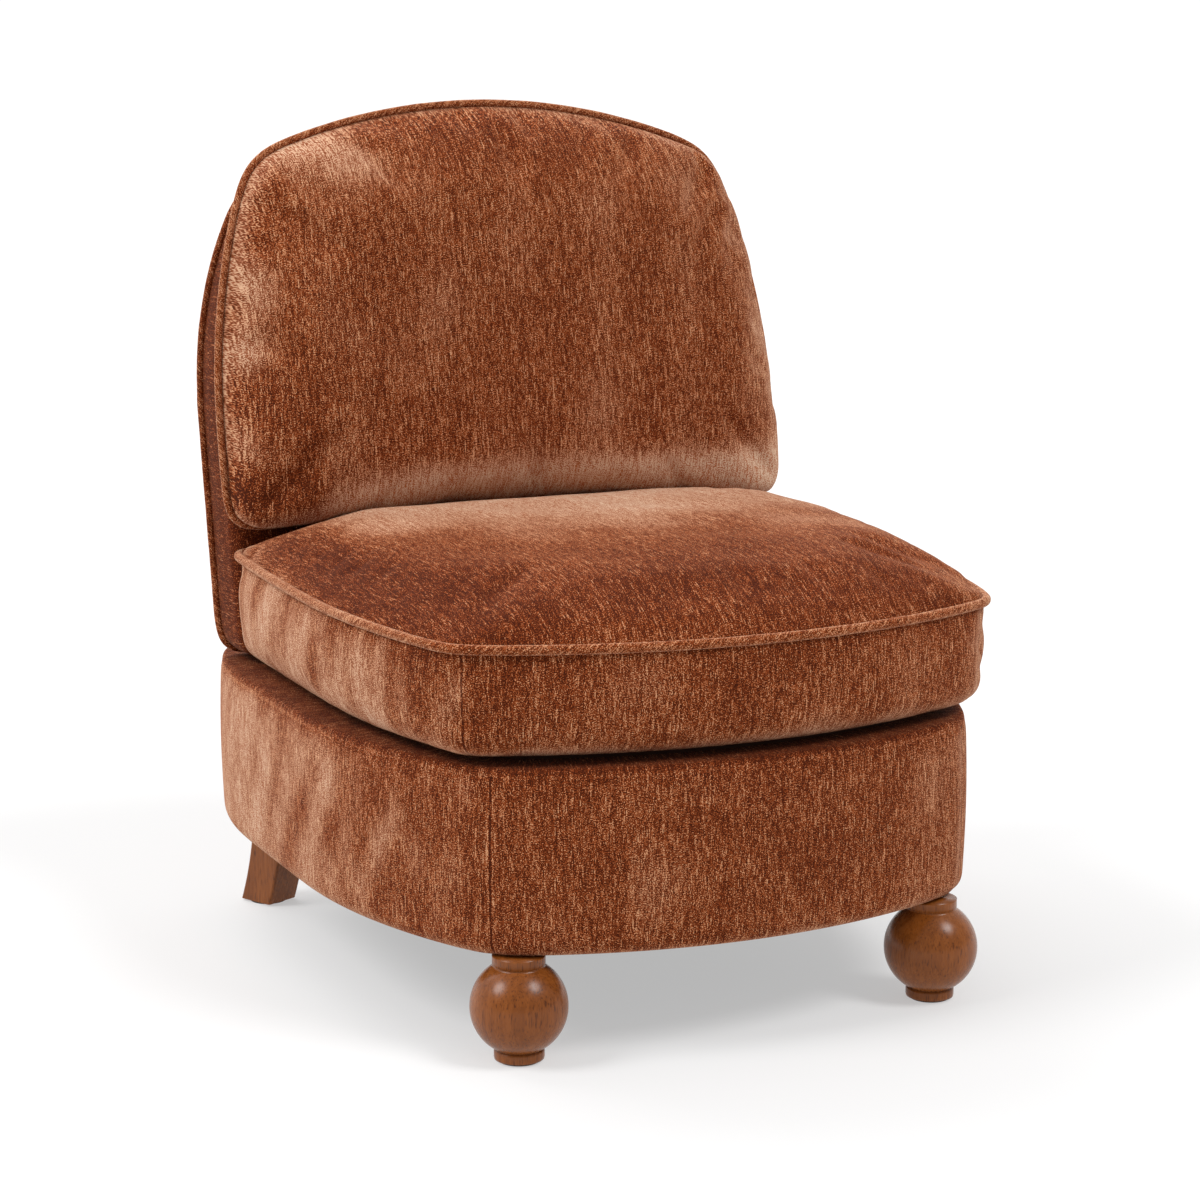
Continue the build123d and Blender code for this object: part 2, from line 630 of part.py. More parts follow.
with BuildPart() as ledge_band:
    add(base_skin.part)
    split(bisect_by=Plane.XY.offset(SEAM_HEIGHT), keep=Keep.TOP)
    add(deck_opening.part, mode=Mode.SUBTRACT)
    add(tongue_slots.part, mode=Mode.SUBTRACT)
save(ledge_band.part, "ledge_band")

# Deck: pad on the webbing, with its plain cloth
WEBBING_TOP = RAIL_TOP + 2 * STRAP_THICK + FIT


def deck_slab(margin, bottom, top):
    """Slab under the seat cushion, in front of the back."""
    with BuildPart() as slab:
        add(base_prism(LEDGE + margin, bottom, top))
        split(
            bisect_by=Plane((0, DECK_REAR - margin, 0), x_dir=(1, 0, 0), z_dir=(0, 1, 0)),
            keep=Keep.BOTTOM,
        )
    return slab.part


with BuildPart() as deck_pad:
    add(base_prism(RAIL_OUT + FIT, WEBBING_TOP + FIT, BASE_TOP - COVER - FIT))
    add(deck_slab(FIT, BASE_TOP - COVER - FIT, BASE_TOP + DECK_RISE))
    add(tongue_slots.part, mode=Mode.SUBTRACT)
save(deck_pad.part, "deck_pad")

save(deck_slab(FIT, BASE_TOP + DECK_RISE + FIT, DECK_TOP), "deck_cloth")

# Webbing on the rails: lengthwise straps first, then the crosswise ones
with BuildPart() as webbing_lengthwise:
    with BuildSketch(Plane.XY.offset(RAIL_TOP)):
        with GridLocations(STRAP_PITCH, 0, LENGTH_STRAPS, 1):
            Rectangle(STRAP, 2 * FAR)
    extrude(amount=STRAP_THICK)
    add(base_prism(STRAP_HOLD, RAIL_TOP, BASE_TOP), mode=Mode.INTERSECT)
save(webbing_lengthwise.part, "webbing_lengthwise")

with BuildPart() as webbing_crosswise:
    with BuildSketch(Plane.XY.offset(RAIL_TOP + STRAP_THICK + FIT)):
        with Locations((0, CROSS_STRAP_MID)):
            with GridLocations(0, STRAP_PITCH, 1, CROSS_STRAPS):
                Rectangle(2 * FAR, STRAP)
    extrude(amount=STRAP_THICK)
    add(base_prism(STRAP_HOLD, RAIL_TOP, BASE_TOP), mode=Mode.INTERSECT)
save(webbing_crosswise.part, "webbing_crosswise")

# Rear sabre legs: a curved side profile with rounded edges
LEG_DIRECTION = Vector(cos(radians(LEG_YAW)), sin(radians(LEG_YAW)))
LEG_TOP = RAIL_BOTTOM
LEG_FOOT = Vector(LEG_X, LEG_Y) + LEG_DIRECTION * LEG_SWEEP
leg_plane = Plane(
    origin=(LEG_X, LEG_Y, 0), x_dir=LEG_DIRECTION, z_dir=LEG_DIRECTION.cross(Vector(0, 0, 1))
)
with BuildPart() as right_leg:
    with BuildSketch(leg_plane):
        with BuildLine():
            middle = (GLIDE_THICK + LEG_TOP) / 2
            edges = [
                ThreePointArc(
                    (shift, LEG_TOP), (shift + LEG_SWEEP_MID, middle), (shift + LEG_SWEEP, GLIDE_THICK)
                )
                for shift in (-LEG_DEPTH / 2, LEG_DEPTH / 2)
            ]
            Line(edges[0] @ 0, edges[1] @ 0)
            Line(edges[0] @ 1, edges[1] @ 1)
        make_face()
    extrude(amount=LEG_WIDTH / 2, both=True)
    fillet(right_leg.edges().filter_by(GeomType.CIRCLE), LEG_ROUND)
    with Locations((LEG_X, LEG_Y, LEG_TOP)):
        Hole(BOLT + BOLT_FIT, depth=FOOT_BOLT_DOWN + FIT)
save(right_leg.part, "rear_leg_right")

with BuildPart() as left_leg:
    add(mirror(right_leg.part, about=Plane.YZ, mode=Mode.PRIVATE))
save(left_leg.part, "rear_leg_left")

# Dust cover under the frame
with BuildPart() as dust_cover:
    add(base_prism(COVER_FLANGE + FIT, RAIL_BOTTOM - DUST_CLOTH, RAIL_BOTTOM))
    add(leg_slots.part, mode=Mode.SUBTRACT)
save(dust_cover.part, "dust_cover")

# Turned front feet
with BuildPart() as ball_foot:
    with BuildSketch(Plane.XZ):
        with BuildLine():
            low = BALL_CENTRE - (BALL**2 - FOOT_NECK**2) ** 0.5
            high = BALL_CENTRE + (BALL**2 - FOOT_COLLAR_NECK**2) ** 0.5
            Polyline(
                (FOOT_NECK, low), (FOOT_NECK, FOOT_RING_TOP), (FOOT_RING, FOOT_RING_TOP),
                (FOOT_RING, GLIDE_THICK), (0, GLIDE_THICK), (0, BASE_BOTTOM),
                (FOOT_COLLAR, BASE_BOTTOM), (FOOT_COLLAR, FOOT_COLLAR_BOTTOM),
                (FOOT_COLLAR_NECK, FOOT_COLLAR_BOTTOM), (FOOT_COLLAR_NECK, high),
            )
            ThreePointArc((FOOT_NECK, low), (BALL, BALL_CENTRE), (FOOT_COLLAR_NECK, high))
        make_face()
    revolve(axis=Axis.Z)
    circles = ball_foot.edges().filter_by(GeomType.CIRCLE)
    fillet(circles.filter_by(lambda edge: FOOT_RING - FIT / 2 < edge.radius < BALL - FIT), FOOT_ROUND)
    with Locations((0, 0, BASE_BOTTOM)):
        Hole(BOLT + BOLT_FIT, depth=FOOT_BOLT_DOWN + FIT)

for name, side in SIDES:
    with BuildPart() as front_foot:
        with Locations((side * FOOT_X, FOOT_Y, 0)):
            add(ball_foot.part)
    save(front_foot.part, f"front_foot_{name}")

# Glides, hanger bolts and threaded inserts at the four feet
STANDS = {
    "front_left": (-FOOT_X, FOOT_Y), "front_right": (FOOT_X, FOOT_Y),
    "rear_left": (-LEG_FOOT.X, LEG_FOOT.Y), "rear_right": (LEG_FOOT.X, LEG_FOOT.Y),
}
for name, (x, y) in STANDS.items():
    with BuildPart() as glide:
        with BuildSketch():
            with Locations((x, y)):
                Circle(GLIDE)
        extrude(amount=GLIDE_THICK)
    save(glide.part, f"glide_{name}")

FOOT_BOLTS = [
    (side * x, y, top)
    for side in (1, -1)
    for x, y, top in ((FOOT_X, FOOT_Y, BASE_BOTTOM), (LEG_X, LEG_Y, LEG_TOP))
]
with BuildPart() as hanger_bolts:
    for x, y, top in FOOT_BOLTS:
        with BuildSketch(Plane.XY.offset(top - FOOT_BOLT_DOWN)):
            with Locations((x, y)):
                Circle(BOLT)
        extrude(amount=FOOT_BOLT_DOWN + FOOT_BOLT_UP)
save(hanger_bolts.part, "hanger_bolts")

with BuildPart() as threaded_inserts:
    with BuildSketch(Plane.XY.offset(RAIL_BOTTOM)):
        with Locations(*[(x, y) for x, y, top in FOOT_BOLTS]):
            Circle(INSERT)
            Circle(BOLT + BOLT_FIT, mode=Mode.SUBTRACT)
    extrude(amount=INSERT_LENGTH)
save(threaded_inserts.part, "threaded_inserts")

# Back upholstery: pad, webbing, board and skin
with BuildPart() as back_pad:
    add(back_form(SKIN + FIT, BACK_PAD))
save(back_pad.part, "back_pad")

with BuildPart() as back_webbing:
    with BuildSketch(back_plane(PAD_BACK + FIT)):
        for row in range(BACK_STRAPS):
            with Locations((0, BACK_STRAP_START + row * BACK_STRAP_PITCH)):
                Rectangle(2 * BACK_HALF_WIDTH, STRAP)
    extrude(amount=STRAP_THICK, dir=(0, 1, 0))
    add(back_prism(BACK_STRAP_HOLD, 0, BACK_DEPTH), mode=Mode.INTERSECT)
save(back_webbing.part, "back_webbing")

BOARD_FRONT = WOOD_FRONT + POST_DEPTH + FIT
save(back_prism(SKIN + FIT, BOARD_FRONT, BOARD), "outside_back_board")

back_welt_line = back_dome(-BACK_WELT_PROUD, BACK_DEPTH - BACK_WELT_INSET)
save(seam_tube(back_welt_line, BACK_WELT), "back_welt")

with BuildPart() as back_skin:
    add(back_form(0, BACK_DEPTH))
    add(back_form(SKIN, BACK_DEPTH - 2 * SKIN), mode=Mode.SUBTRACT)
    add(tongue_slots.part, mode=Mode.SUBTRACT)
    add(seam_tube(back_welt_line, BACK_WELT + WELT_FIT), mode=Mode.SUBTRACT)

with BuildPart() as inside_back_cover:
    add(back_skin.part)
    split(bisect_by=back_plane(BACK_COVER_SEAM), keep=Keep.TOP)
save(inside_back_cover.part, "inside_back_cover")

with BuildPart() as back_border_cover:
    add(back_skin.part)
    split(bisect_by=back_plane(BACK_COVER_SEAM), keep=Keep.BOTTOM)
    split(bisect_by=back_plane(BACK_DEPTH - SKIN), keep=Keep.TOP)
save(back_border_cover.part, "back_border_cover")

with BuildPart() as outside_back_cover:
    add(back_skin.part)
    split(bisect_by=back_plane(BACK_DEPTH - SKIN), keep=Keep.BOTTOM)
save(outside_back_cover.part, "outside_back_cover")

# Seat cushion: foam, skin cut into panels, piping and zip
SEAM_PLANE = seat_seam_plane(0)
BAND_PLANE = Plane.XY.offset(SEAT_BOTTOM + SEAT_BOTTOM_BAND)
seat_piping_line = seat_plan(SEAM_PLANE, -SEAT_PIPING_PROUD)
save(seam_tube(seat_piping_line, SEAT_PIPING), "seat_piping")
save(seat_form(SKIN + FIT), "seat_foam")

with BuildPart() as seat_skin:
    add(seat_form(0))
    add(seat_form(SKIN), mode=Mode.SUBTRACT)
    add(seam_tube(seat_piping_line, SEAT_PIPING + WELT_FIT), mode=Mode.SUBTRACT)

with BuildPart() as seat_top_panel:
    add(seat_skin.part)
    split(bisect_by=SEAM_PLANE, keep=Keep.TOP)
save(seat_top_panel.part, "seat_top_panel")

with BuildPart() as seat_bottom_panel:
    add(seat_skin.part)
    split(bisect_by=BAND_PLANE, keep=Keep.BOTTOM)
save(seat_bottom_panel.part, "seat_bottom_panel")

with BuildPart() as seat_boxing:
    add(seat_skin.part)
    split(bisect_by=SEAM_PLANE, keep=Keep.BOTTOM)
    split(bisect_by=BAND_PLANE, keep=Keep.TOP)

for name, side in SIDES:
    save(side_piece(seat_boxing.part, side, SEAT_BOXING_SEAM), f"seat_boxing_{name}")

with BuildPart() as seat_boxing_middle:
    add(seat_boxing.part)
    split(bisect_by=side_plane(SEAT_BOXING_SEAM), keep=Keep.BOTTOM)
    split(bisect_by=side_plane(-SEAT_BOXING_SEAM), keep=Keep.TOP)
save(ring_piece(seat_boxing_middle.part, -FAR, 0), "seat_boxing_front")

with BuildPart() as zip_slot:
    with Locations((0, BACK_FRONT, SEAT_SEAM_HEIGHT - ZIP_DROP)):
        Box(2 * ZIP_HALF_LENGTH, BACK_DEPTH, ZIP_WIDTH)

with BuildPart() as seat_boxing_rear:
    add(ring_piece(seat_boxing_middle.part, 0, FAR))
    add(zip_slot.part, mode=Mode.SUBTRACT)
save(seat_boxing_rear.part, "seat_boxing_rear")

with BuildPart() as seat_zip:
    add(ring_piece(seat_boxing_middle.part, 0, FAR))
    add(zip_slot.part, mode=Mode.INTERSECT)
save(seat_zip.part, "seat_zip")

# Back cushion: filling, front and rear panels, welt
PILLOW_PLANE = back_plane(-PILLOW_SEAM)
pillow_welt_line = pillow_dome(-PILLOW_WELT_PROUD, -PILLOW_SEAM)
save(seam_tube(pillow_welt_line, PILLOW_WELT), "back_cushion_welt")
save(pillow_form(SKIN + FIT), "back_cushion_filling")

with BuildPart() as pillow_skin:
    add(pillow_form(0))
    add(pillow_form(SKIN), mode=Mode.SUBTRACT)
    add(seam_tube(pillow_welt_line, PILLOW_WELT + WELT_FIT), mode=Mode.SUBTRACT)

for name, keep in (("front", Keep.TOP), ("rear", Keep.BOTTOM)):
    with BuildPart() as pillow_panel:
        add(pillow_skin.part)
        split(bisect_by=PILLOW_PLANE, keep=keep)
    save(pillow_panel.part, f"back_cushion_{name}_panel")
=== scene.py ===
"""Looks of the armless accent chair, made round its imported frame. Metres, +Z up, the front faces -Y."""
import json
import math

import bpy
import numpy as np
from mathutils import Euler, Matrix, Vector
from mathutils.bvhtree import BVHTree

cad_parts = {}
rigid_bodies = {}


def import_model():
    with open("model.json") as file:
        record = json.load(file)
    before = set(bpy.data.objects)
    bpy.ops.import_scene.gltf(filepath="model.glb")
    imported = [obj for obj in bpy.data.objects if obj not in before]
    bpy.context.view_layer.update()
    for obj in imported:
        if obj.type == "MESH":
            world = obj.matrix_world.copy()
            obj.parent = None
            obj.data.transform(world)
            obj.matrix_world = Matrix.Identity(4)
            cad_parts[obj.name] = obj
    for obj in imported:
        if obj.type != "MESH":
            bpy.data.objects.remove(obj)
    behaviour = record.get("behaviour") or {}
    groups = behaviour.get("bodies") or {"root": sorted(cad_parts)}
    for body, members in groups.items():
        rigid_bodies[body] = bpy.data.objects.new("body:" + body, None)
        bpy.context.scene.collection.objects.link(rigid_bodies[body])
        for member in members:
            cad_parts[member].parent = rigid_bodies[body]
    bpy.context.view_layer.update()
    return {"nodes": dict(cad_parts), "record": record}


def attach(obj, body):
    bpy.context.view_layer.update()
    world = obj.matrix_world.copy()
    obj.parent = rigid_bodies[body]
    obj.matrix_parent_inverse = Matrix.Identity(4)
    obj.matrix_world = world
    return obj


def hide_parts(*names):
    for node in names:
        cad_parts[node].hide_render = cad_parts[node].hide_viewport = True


for default in list(bpy.data.objects):
    bpy.data.objects.remove(default)
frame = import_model()

# Base outline and heights
BASE_HALF = 0.346
BASE_FRONT = -0.393
BASE_SEAM = 0.262 - 0.333j  # vertical seam at a front corner, x and y
BASE_TANGENTS = (-0.025, 0.165)  # the sides are straight between these
BASE_CORNER = 0.303 + 0.350j
BASE_REAR = 0.358
BASE_BOTTOM = 0.105
BASE_TOP = 0.290
BASE_EDGE = 0.018
BASE_TOP_EDGE = 0.007
LEDGE = 0.047
FLANGE = 0.041
DECK_TOP = 0.2955
DECK_DROP = 0.009  # the deck's edge lies lower than its middle by this
DECK_THICKNESS = 0.004
UNDERSIDE = 0.1068
UNDERSIDE_THICKNESS = 0.0006
UNDERLAP = 0.002  # width of a stretched cloth that lies under the cover's edge
PLATE_SWELL = (14, 14)
PLATE_ROOT = (1, 1)

# Back
RECLINE = math.radians(11)
BACK_FRONT = 0.208
BACK_BOTTOM = 0.2968
BACK_DEPTH = 0.0776
BACK_HALF = 0.327
BACK_STRAIGHT = 0.2705
BACK_SHOULDER = 0.258 + 0.5165j
BACK_PEAK = 0.5635
BACK_EDGE = 0.016
BACK_WELT = 0.0045
BACK_WELT_DEPTH = 0.0726
BACK_WELT_PROUD = 0.002

# Seat cushion
SEAT_HALF = 0.336
SEAT_FRONT = -0.388
SEAT_SEAM = 0.291 - 0.318j
SEAT_TANGENTS = (-0.040, -0.020)
SEAT_CORNER = 0.328 + 0.2207j
SEAT_REAR = 0.2212
SEAT_BOTTOM = 0.2963
SEAT_PIPING_HEIGHT = 0.4111
SEAT_TILT = math.tan(math.radians(0.95))
SEAT_CROWN = 0.060
SEAT_SWELLING = 0.007  # part of the crown that comes from the filling's pressure
SEAT_PIPING = 0.005
SEAT_PIPING_PROUD = 0.003
SEAT_BOXING_SEAM_X = 0.284
SEAT_FRONT_PART = -0.2  # the boxing's upright seams lie in front of this

# Back cushion
PILLOW_HALF = 0.332
PILLOW_STRAIGHT = 0.2585
PILLOW_SHOULDER = 0.277 + 0.5465j
PILLOW_PEAK = 0.6045
PILLOW_BOTTOM = 0.1495
PILLOW_BOW = 0.009
PILLOW_SEAM = 0.015
PILLOW_CROWN = 0.095
PILLOW_SWELLING = 0.012
PILLOW_WELT = 0.0045
PILLOW_WELT_PROUD = 0.003

# Front feet: turned profile as radius and height, with the ball between the neck and the collar
FOOT_PLACE = 0.228 - 0.325j
BALL = 0.0475
BALL_CENTRE = 0.054
FOOT_RING = 0.0245
FOOT_RING_TOP = 0.012
FOOT_NECK = 0.0225
FOOT_COLLAR = 0.02575
FOOT_COLLAR_BOTTOM = 0.0955
FOOT_COLLAR_NECK = 0.0243
FOOT_FLOOR = 0.002
FOOT_SOFT = 0.0012

# Padding and folds
BASE_BELLY = 0.0022
BASE_TUCK = 0.0016
TOP_SEAM_HIGHLIGHT_SHIFT = 0.0018  # the top seam shows as a pale line of painted highlight, not as a dark crease of painted shade
BACK_REAR_EDGE = 0.006
BACK_BELLY = 0.0015
BACK_COVER_SEAM = 0.020
SEAT_SWELL = (4, 5)
SEAT_ROOT = (0.52, 0.52)
SEAT_BELLY = 0.0025
SEAT_ROLL = 0.028
SEAT_ROLL_INSET = 0.030
SEAM_TUCK = 0.0018
SEAT_SPARE = 0.004  # share by which the cover may stretch
PILLOW_SWELL = (8, 5)
PILLOW_ROOT = (0.52, 0.52)
PILLOW_REAR = 0.0142
PILLOW_REAR_RISE = 1.5  # the rear rises by this times the crown's share, then lies flat
PILLOW_SPARE = 0.014
PILLOW_SAG = 0.024  # drop of the lower front on to the seat
PILLOW_SAG_REACH = 0.075
REST_GAP = 0.0012
ABOVE = 1.0  # height from which rays look down for the seat cushion
NO_SEAM = 1.0  # distance that stands for no seam near a point
SEAT_PUCKER = {"radius": 0.35, "wave": 0.034, "seed": 3, "fade": 0.035, "depth": 0.0008}
PILLOW_PUCKER = {"radius": 0.36, "wave": 0.040, "seed": 17, "fade": 0.045, "depth": 0.0022}
PILLOW_PUCKER_START = 0.012
SEAT_DIMPLE = {"wave": 0.12, "seed": 8, "edge": 0.06, "depth": 0.0012}
PILLOW_DIMPLE = {"wave": 0.13, "seed": 29, "edge": 0.05, "depth": 0.0016}
WELT_UNEVEN = 0.05
WELT_WAVE = 0.045
WELT_SEED = 5

# Passes that round an outline; a dome has some for all of it and further ones for its shoulders
BASE_SOFTEN = 26
BACK_SOFTEN = (18, 26)
SEAT_SOFTEN = 12
PILLOW_SOFTEN = (20, 10)

# Brushed patches: seed and depth of the random ones. Then chosen patches of painted light and shade as
# place, radii and strength: paler where light falls or grazes, darker where shade falls.
BASE_DAPPLE = (11, 0.07)
BACK_DAPPLE = (23, 0.05)
SEAT_DAPPLE = (31, 0.07)
PILLOW_DAPPLE = (41, 0.05)
BASE_PAINTED_LIGHT = (
    # painted light on the lit left wall
    ((-0.34, 0.14, 0.2), (0.06, 0.22, 0.12), 0.10),
    # painted shade on the ledge under the seat cushion
    ((0.0, 0.0, 0.295), (2.0, 2.0, 0.012), -0.5),
    # painted shade on the front wall
    ((0.0, -0.38, 0.2), (0.6, 0.08, 0.4), -0.04),
)
# Painted shade on the back's left border
BACK_PAINTED_SHADE = (((-0.33, 0.3, 0.55), (0.08, 0.3, 0.5), -0.75),)
SEAT_PAINTED_LIGHT = (
    # painted light on the boxing's lit left side
    ((-0.33, 0.05, 0.36), (0.05, 0.25, 0.08), 0.12),
    # darker front of the seat top, with less painted sheen there
    ((0.0, -0.32, 0.46), (0.5, 0.30, 0.05), -0.36),
    # painted shade on the boxing's front
    ((0.0, -0.39, 0.36), (0.6, 0.06, 0.06), -0.06),
    # painted light on the rear of the seat top
    ((0.04, 0.15, 0.465), (0.30, 0.21, 0.05), 0.38),
    # darker strip along the left of the seat top
    ((-0.29, -0.08, 0.435), (0.11, 0.24, 0.024), -0.70),
)
PILLOW_PAINTED_LIGHT = (
    # painted highlight on the upper left shoulder
    ((-0.20, 0.24, 0.84), (0.07, 0.2, 0.03), 0.28),
    # painted light along the lit left edge
    ((-0.30, 0.24, 0.71), (0.02, 0.2, 0.03), 0.19),
    ((-0.31, 0.22, 0.63), (0.02, 0.2, 0.02), 0.19),
    ((-0.32, 0.20, 0.54), (0.02, 0.2, 0.03), 0.18),
    # painted light on the lower front band, which faces down into shade
    ((0.0, 0.15, 0.470), (0.42, 0.2, 0.028), 1.3),
    # no painted light at the band's lower left corner
    ((-0.31, 0.15, 0.475), (0.12, 0.2, 0.026), -1.0),
    # painted shade along the top
    ((0.0, 0.26, 0.86), (0.25, 0.2, 0.04), -0.16),
)
NAP_WAVE = 0.16
# Upright streaks of painted sheen on the lit left side: their wave, stretch and depth
STREAK_WAVE = 0.05
STREAK_STRETCH = (1, 1, 0.4)
STREAK_DEPTH = 1.8
LEFT_START = 0.20  # the streaks of painted sheen begin this far left of the middle
LEFT_BLEND = 0.12

# Stage
FLOOR_HALF = 30.0
FLOOR_TONE = 0.40
FLOOR_GLOW = 0.44
WORLD_FRONT = 0.45
WORLD_BACK = 1.06
WORLD_BLEND = (-0.3, 0.6)
CAMERA_PLACE = (-1.27597, -2.79861, 0.95440)
CAMERA_YAW = 24.613
CAMERA_PITCH = -10.665
CAMERA_LENS = 87.99
CAMERA_SENSOR = 36

# Studio lights: name, direction towards the light, strength and the angle that it covers in degrees
LIGHTS = (
    ("left", (-0.707, 0.05, 0.70), 1.7, 24),
    ("front", (0.387, -0.495, 0.776), 1.65, 22),
    ("overhead", (-0.12, 0.72, 0.68), 1.25, 44),
)

# Mesh sizes and counts
CUSHION_CELL = 0.007
PANEL_CELL = 0.0065
FINE_POINTS = 200  # on each curve of an outline, before it is spaced evenly
FLANGE_STEPS = 5
EDGE_STEPS = 7
WALL_STEPS = 26
ROLL_STEPS = 5
LEDGE_STEPS = 7
BORDER_STEPS = 9
REAR_EDGE_STEPS = 4
BOXING_STEPS = 13
SEAT_ROLL_STEPS = 6
WELT_SIDES = 14
BALL_STEPS = 40
FOOT_SEGMENTS = 72

# Cloth simulation
SIM_FRAMES = 20
SIM_PRESSURE = 4.0


# Outlines in the plane, as complex numbers

def arc(start, middle, end):
    """Points from start to end on the circle through middle."""
    turn = (end - start) / (middle - start)
    centre = start + (middle - start) * (turn - abs(turn) ** 2) / (2j * turn.imag)
    sweep = np.angle((middle - centre) / (start - centre)) + np.angle((end - centre) / (middle - centre))
    return centre + (start - centre) * np.exp(1j * sweep * np.linspace(0, 1, FINE_POINTS))


def tangent_arc(start, end, direction):
    """Points from start to end on the circle that leaves start in the given direction."""
    normal = 1j * direction
    chord = end - start
    across = (np.conj(normal) * chord).real
    centre = start + normal * abs(chord) ** 2 / (2 * across)
    sweep = np.angle((end - centre) / (start - centre))
    return centre + (start - centre) * np.exp(1j * sweep * np.linspace(0, 1, FINE_POINTS))


def resample(points, count):
    """Evenly spaced points along a line, with count cells."""
    reach = np.concatenate([[0], np.cumsum(abs(np.diff(points)))])
    even = np.linspace(0, reach[-1], count + 1)
    return np.interp(even, reach, points.real) + 1j * np.interp(even, reach, points.imag)


def mirrored(points):
    """The same line on the other side, run backwards."""
    return -np.conj(points)[::-1]


def bowed_sides(half, front, seam, tangents, corner, rear, cell):
    """Front, right, rear and left sides of an outline seen from above."""
    lower = tangent_arc(half + 1j * tangents[0], seam, -1j)[::-1]
    upper = tangent_arc(half + 1j * tangents[1], corner, 1j)
    side = np.concatenate([lower, upper])
    front_line = arc(-np.conj(seam), 1j * front, seam)
    rear_line = arc(corner, 1j * rear, -np.conj(corner))
    return four_sides(front_line, side, rear_line, cell)


def dome_sides(half, floor, bow, straight, shoulder, peak, cell):
    """Lower, right, upper and left sides of a dome."""
    rise = tangent_arc(half + 1j * straight, shoulder, 1j)
    side = np.concatenate([[half + 1j * floor], rise])
    crown = arc(shoulder, 1j * peak, -np.conj(shoulder))
    start = -half + 1j * floor
    end = -np.conj(start)
    if bow:
        lower = arc(start, 1j * (floor + bow), end)
    else:
        lower = np.linspace(start, end, FINE_POINTS)
    return four_sides(lower, side, crown, cell)


def four_sides(lower, side, upper, cell):
    """Evenly spaced sides with even counts, so that a middle column and row exist."""
    across = 2 * round(abs(np.diff(lower)).sum() / cell / 2)
    along = 2 * round(abs(np.diff(side)).sum() / cell / 2)
    right = resample(side, along)
    return [resample(lower, across), right, resample(upper, across), mirrored(right)]


def ring_of(sides):
    """Closed ring of points from four sides."""
    return np.concatenate([side[:-1] for side in sides])


def split_ring(ring, sides):
    """Four sides again from a ring."""
    cuts = np.cumsum([0] + [len(side) - 1 for side in sides])
    looped = np.append(ring, ring[0])
    return [looped[a:b + 1] for a, b in zip(cuts[:-1], cuts[1:])]


def soften(sides, passes):
    """Round the corners of an outline as fabric does."""
    ring = ring_of(sides)
    for _ in range(passes):
        ring = 0.25 * np.roll(ring, 1) + 0.5 * ring + 0.25 * np.roll(ring, -1)
    return split_ring(ring, sides)


def outward(ring):
    """Outward direction at each point of a ring that runs anticlockwise."""
    step = np.roll(ring, -1) - np.roll(ring, 1)
    normal = -1j * step
    return normal / abs(normal)


def coons(sides):
    """Grid of points that fills four sides."""
    lower, right, upper, left = sides[0], sides[1], sides[2][::-1], sides[3][::-1]
    u = np.linspace(0, 1, len(lower))[None, :]
    v = np.linspace(0, 1, len(right))[:, None]
    straight = (
        (1 - u) * (1 - v) * lower[0] + u * (1 - v) * lower[-1]
        + (1 - u) * v * upper[0] + u * v * upper[-1]
    )
    grid = (1 - v) * lower[None, :] + v * upper[None, :] + (1 - u) * left[:, None] + u * right[:, None]
    return grid - straight


def swell(shape, power, root):
    """Crown over a grid, 0 at the edge and 1 in the middle."""
    rows, columns = shape
    u = abs(np.linspace(-1, 1, columns))[None, :]
    v = abs(np.linspace(-1, 1, rows))[:, None]
    return ((1 - u ** power[0]) ** root[0]) * ((1 - v ** power[1]) ** root[1])


# Smooth repeatable noise on numbers

RIPPLE_SHARES = (1.0, 1.7, 2.6, 0.6, 3.9)
RIPPLE_FADE = 0.6
RIPPLE_SIZE = 2.4
DAPPLE_SINES = 14
DAPPLE_SHARES = (0.6, 1.8)
DAPPLE_SIZE = 4.5


def ripple(values, wave, seed):
    """Smooth noise along a line, between -1 and 1, from a few sines of fixed phases."""
    draw = np.random.default_rng(seed)
    total = np.zeros_like(values)
    for share in RIPPLE_SHARES:
        phase = draw.uniform(0, 2 * math.pi)
        total += np.sin(values / wave * share * 2 * math.pi + phase) / (share + RIPPLE_FADE)
    return total / RIPPLE_SIZE


def dapple(points, wave, seed):
    """Smooth noise in space, about -1 to 1."""
    draw = np.random.default_rng(seed)
    total = np.zeros(len(points))
    for _ in range(DAPPLE_SINES):
        direction = draw.normal(size=3)
        direction *= draw.uniform(*DAPPLE_SHARES) / np.linalg.norm(direction) / wave
        total += np.sin(points @ direction * 2 * math.pi + draw.uniform(0, 2 * math.pi))
    return total / DAPPLE_SIZE


def puckers(angle, rim, radius, wave, seed, fade, depth):
    """Small folds along a round seam that fade with the distance from it."""
    return ripple(angle * radius, wave, seed) * np.exp(-rim / fade) * depth


def dimples(points, rim, wave, seed, edge, depth):
    """Soft dents on a panel, with none at its edge or off it."""
    return depth * dapple(points, wave, seed) * np.minimum(1, rim / edge) * (rim < NO_SEAM)


# Meshes

def add_object(name, data):
    """Object in the scene from its data."""
    made = bpy.data.objects.new(name, data)
    bpy.context.scene.collection.objects.link(made)
    return made


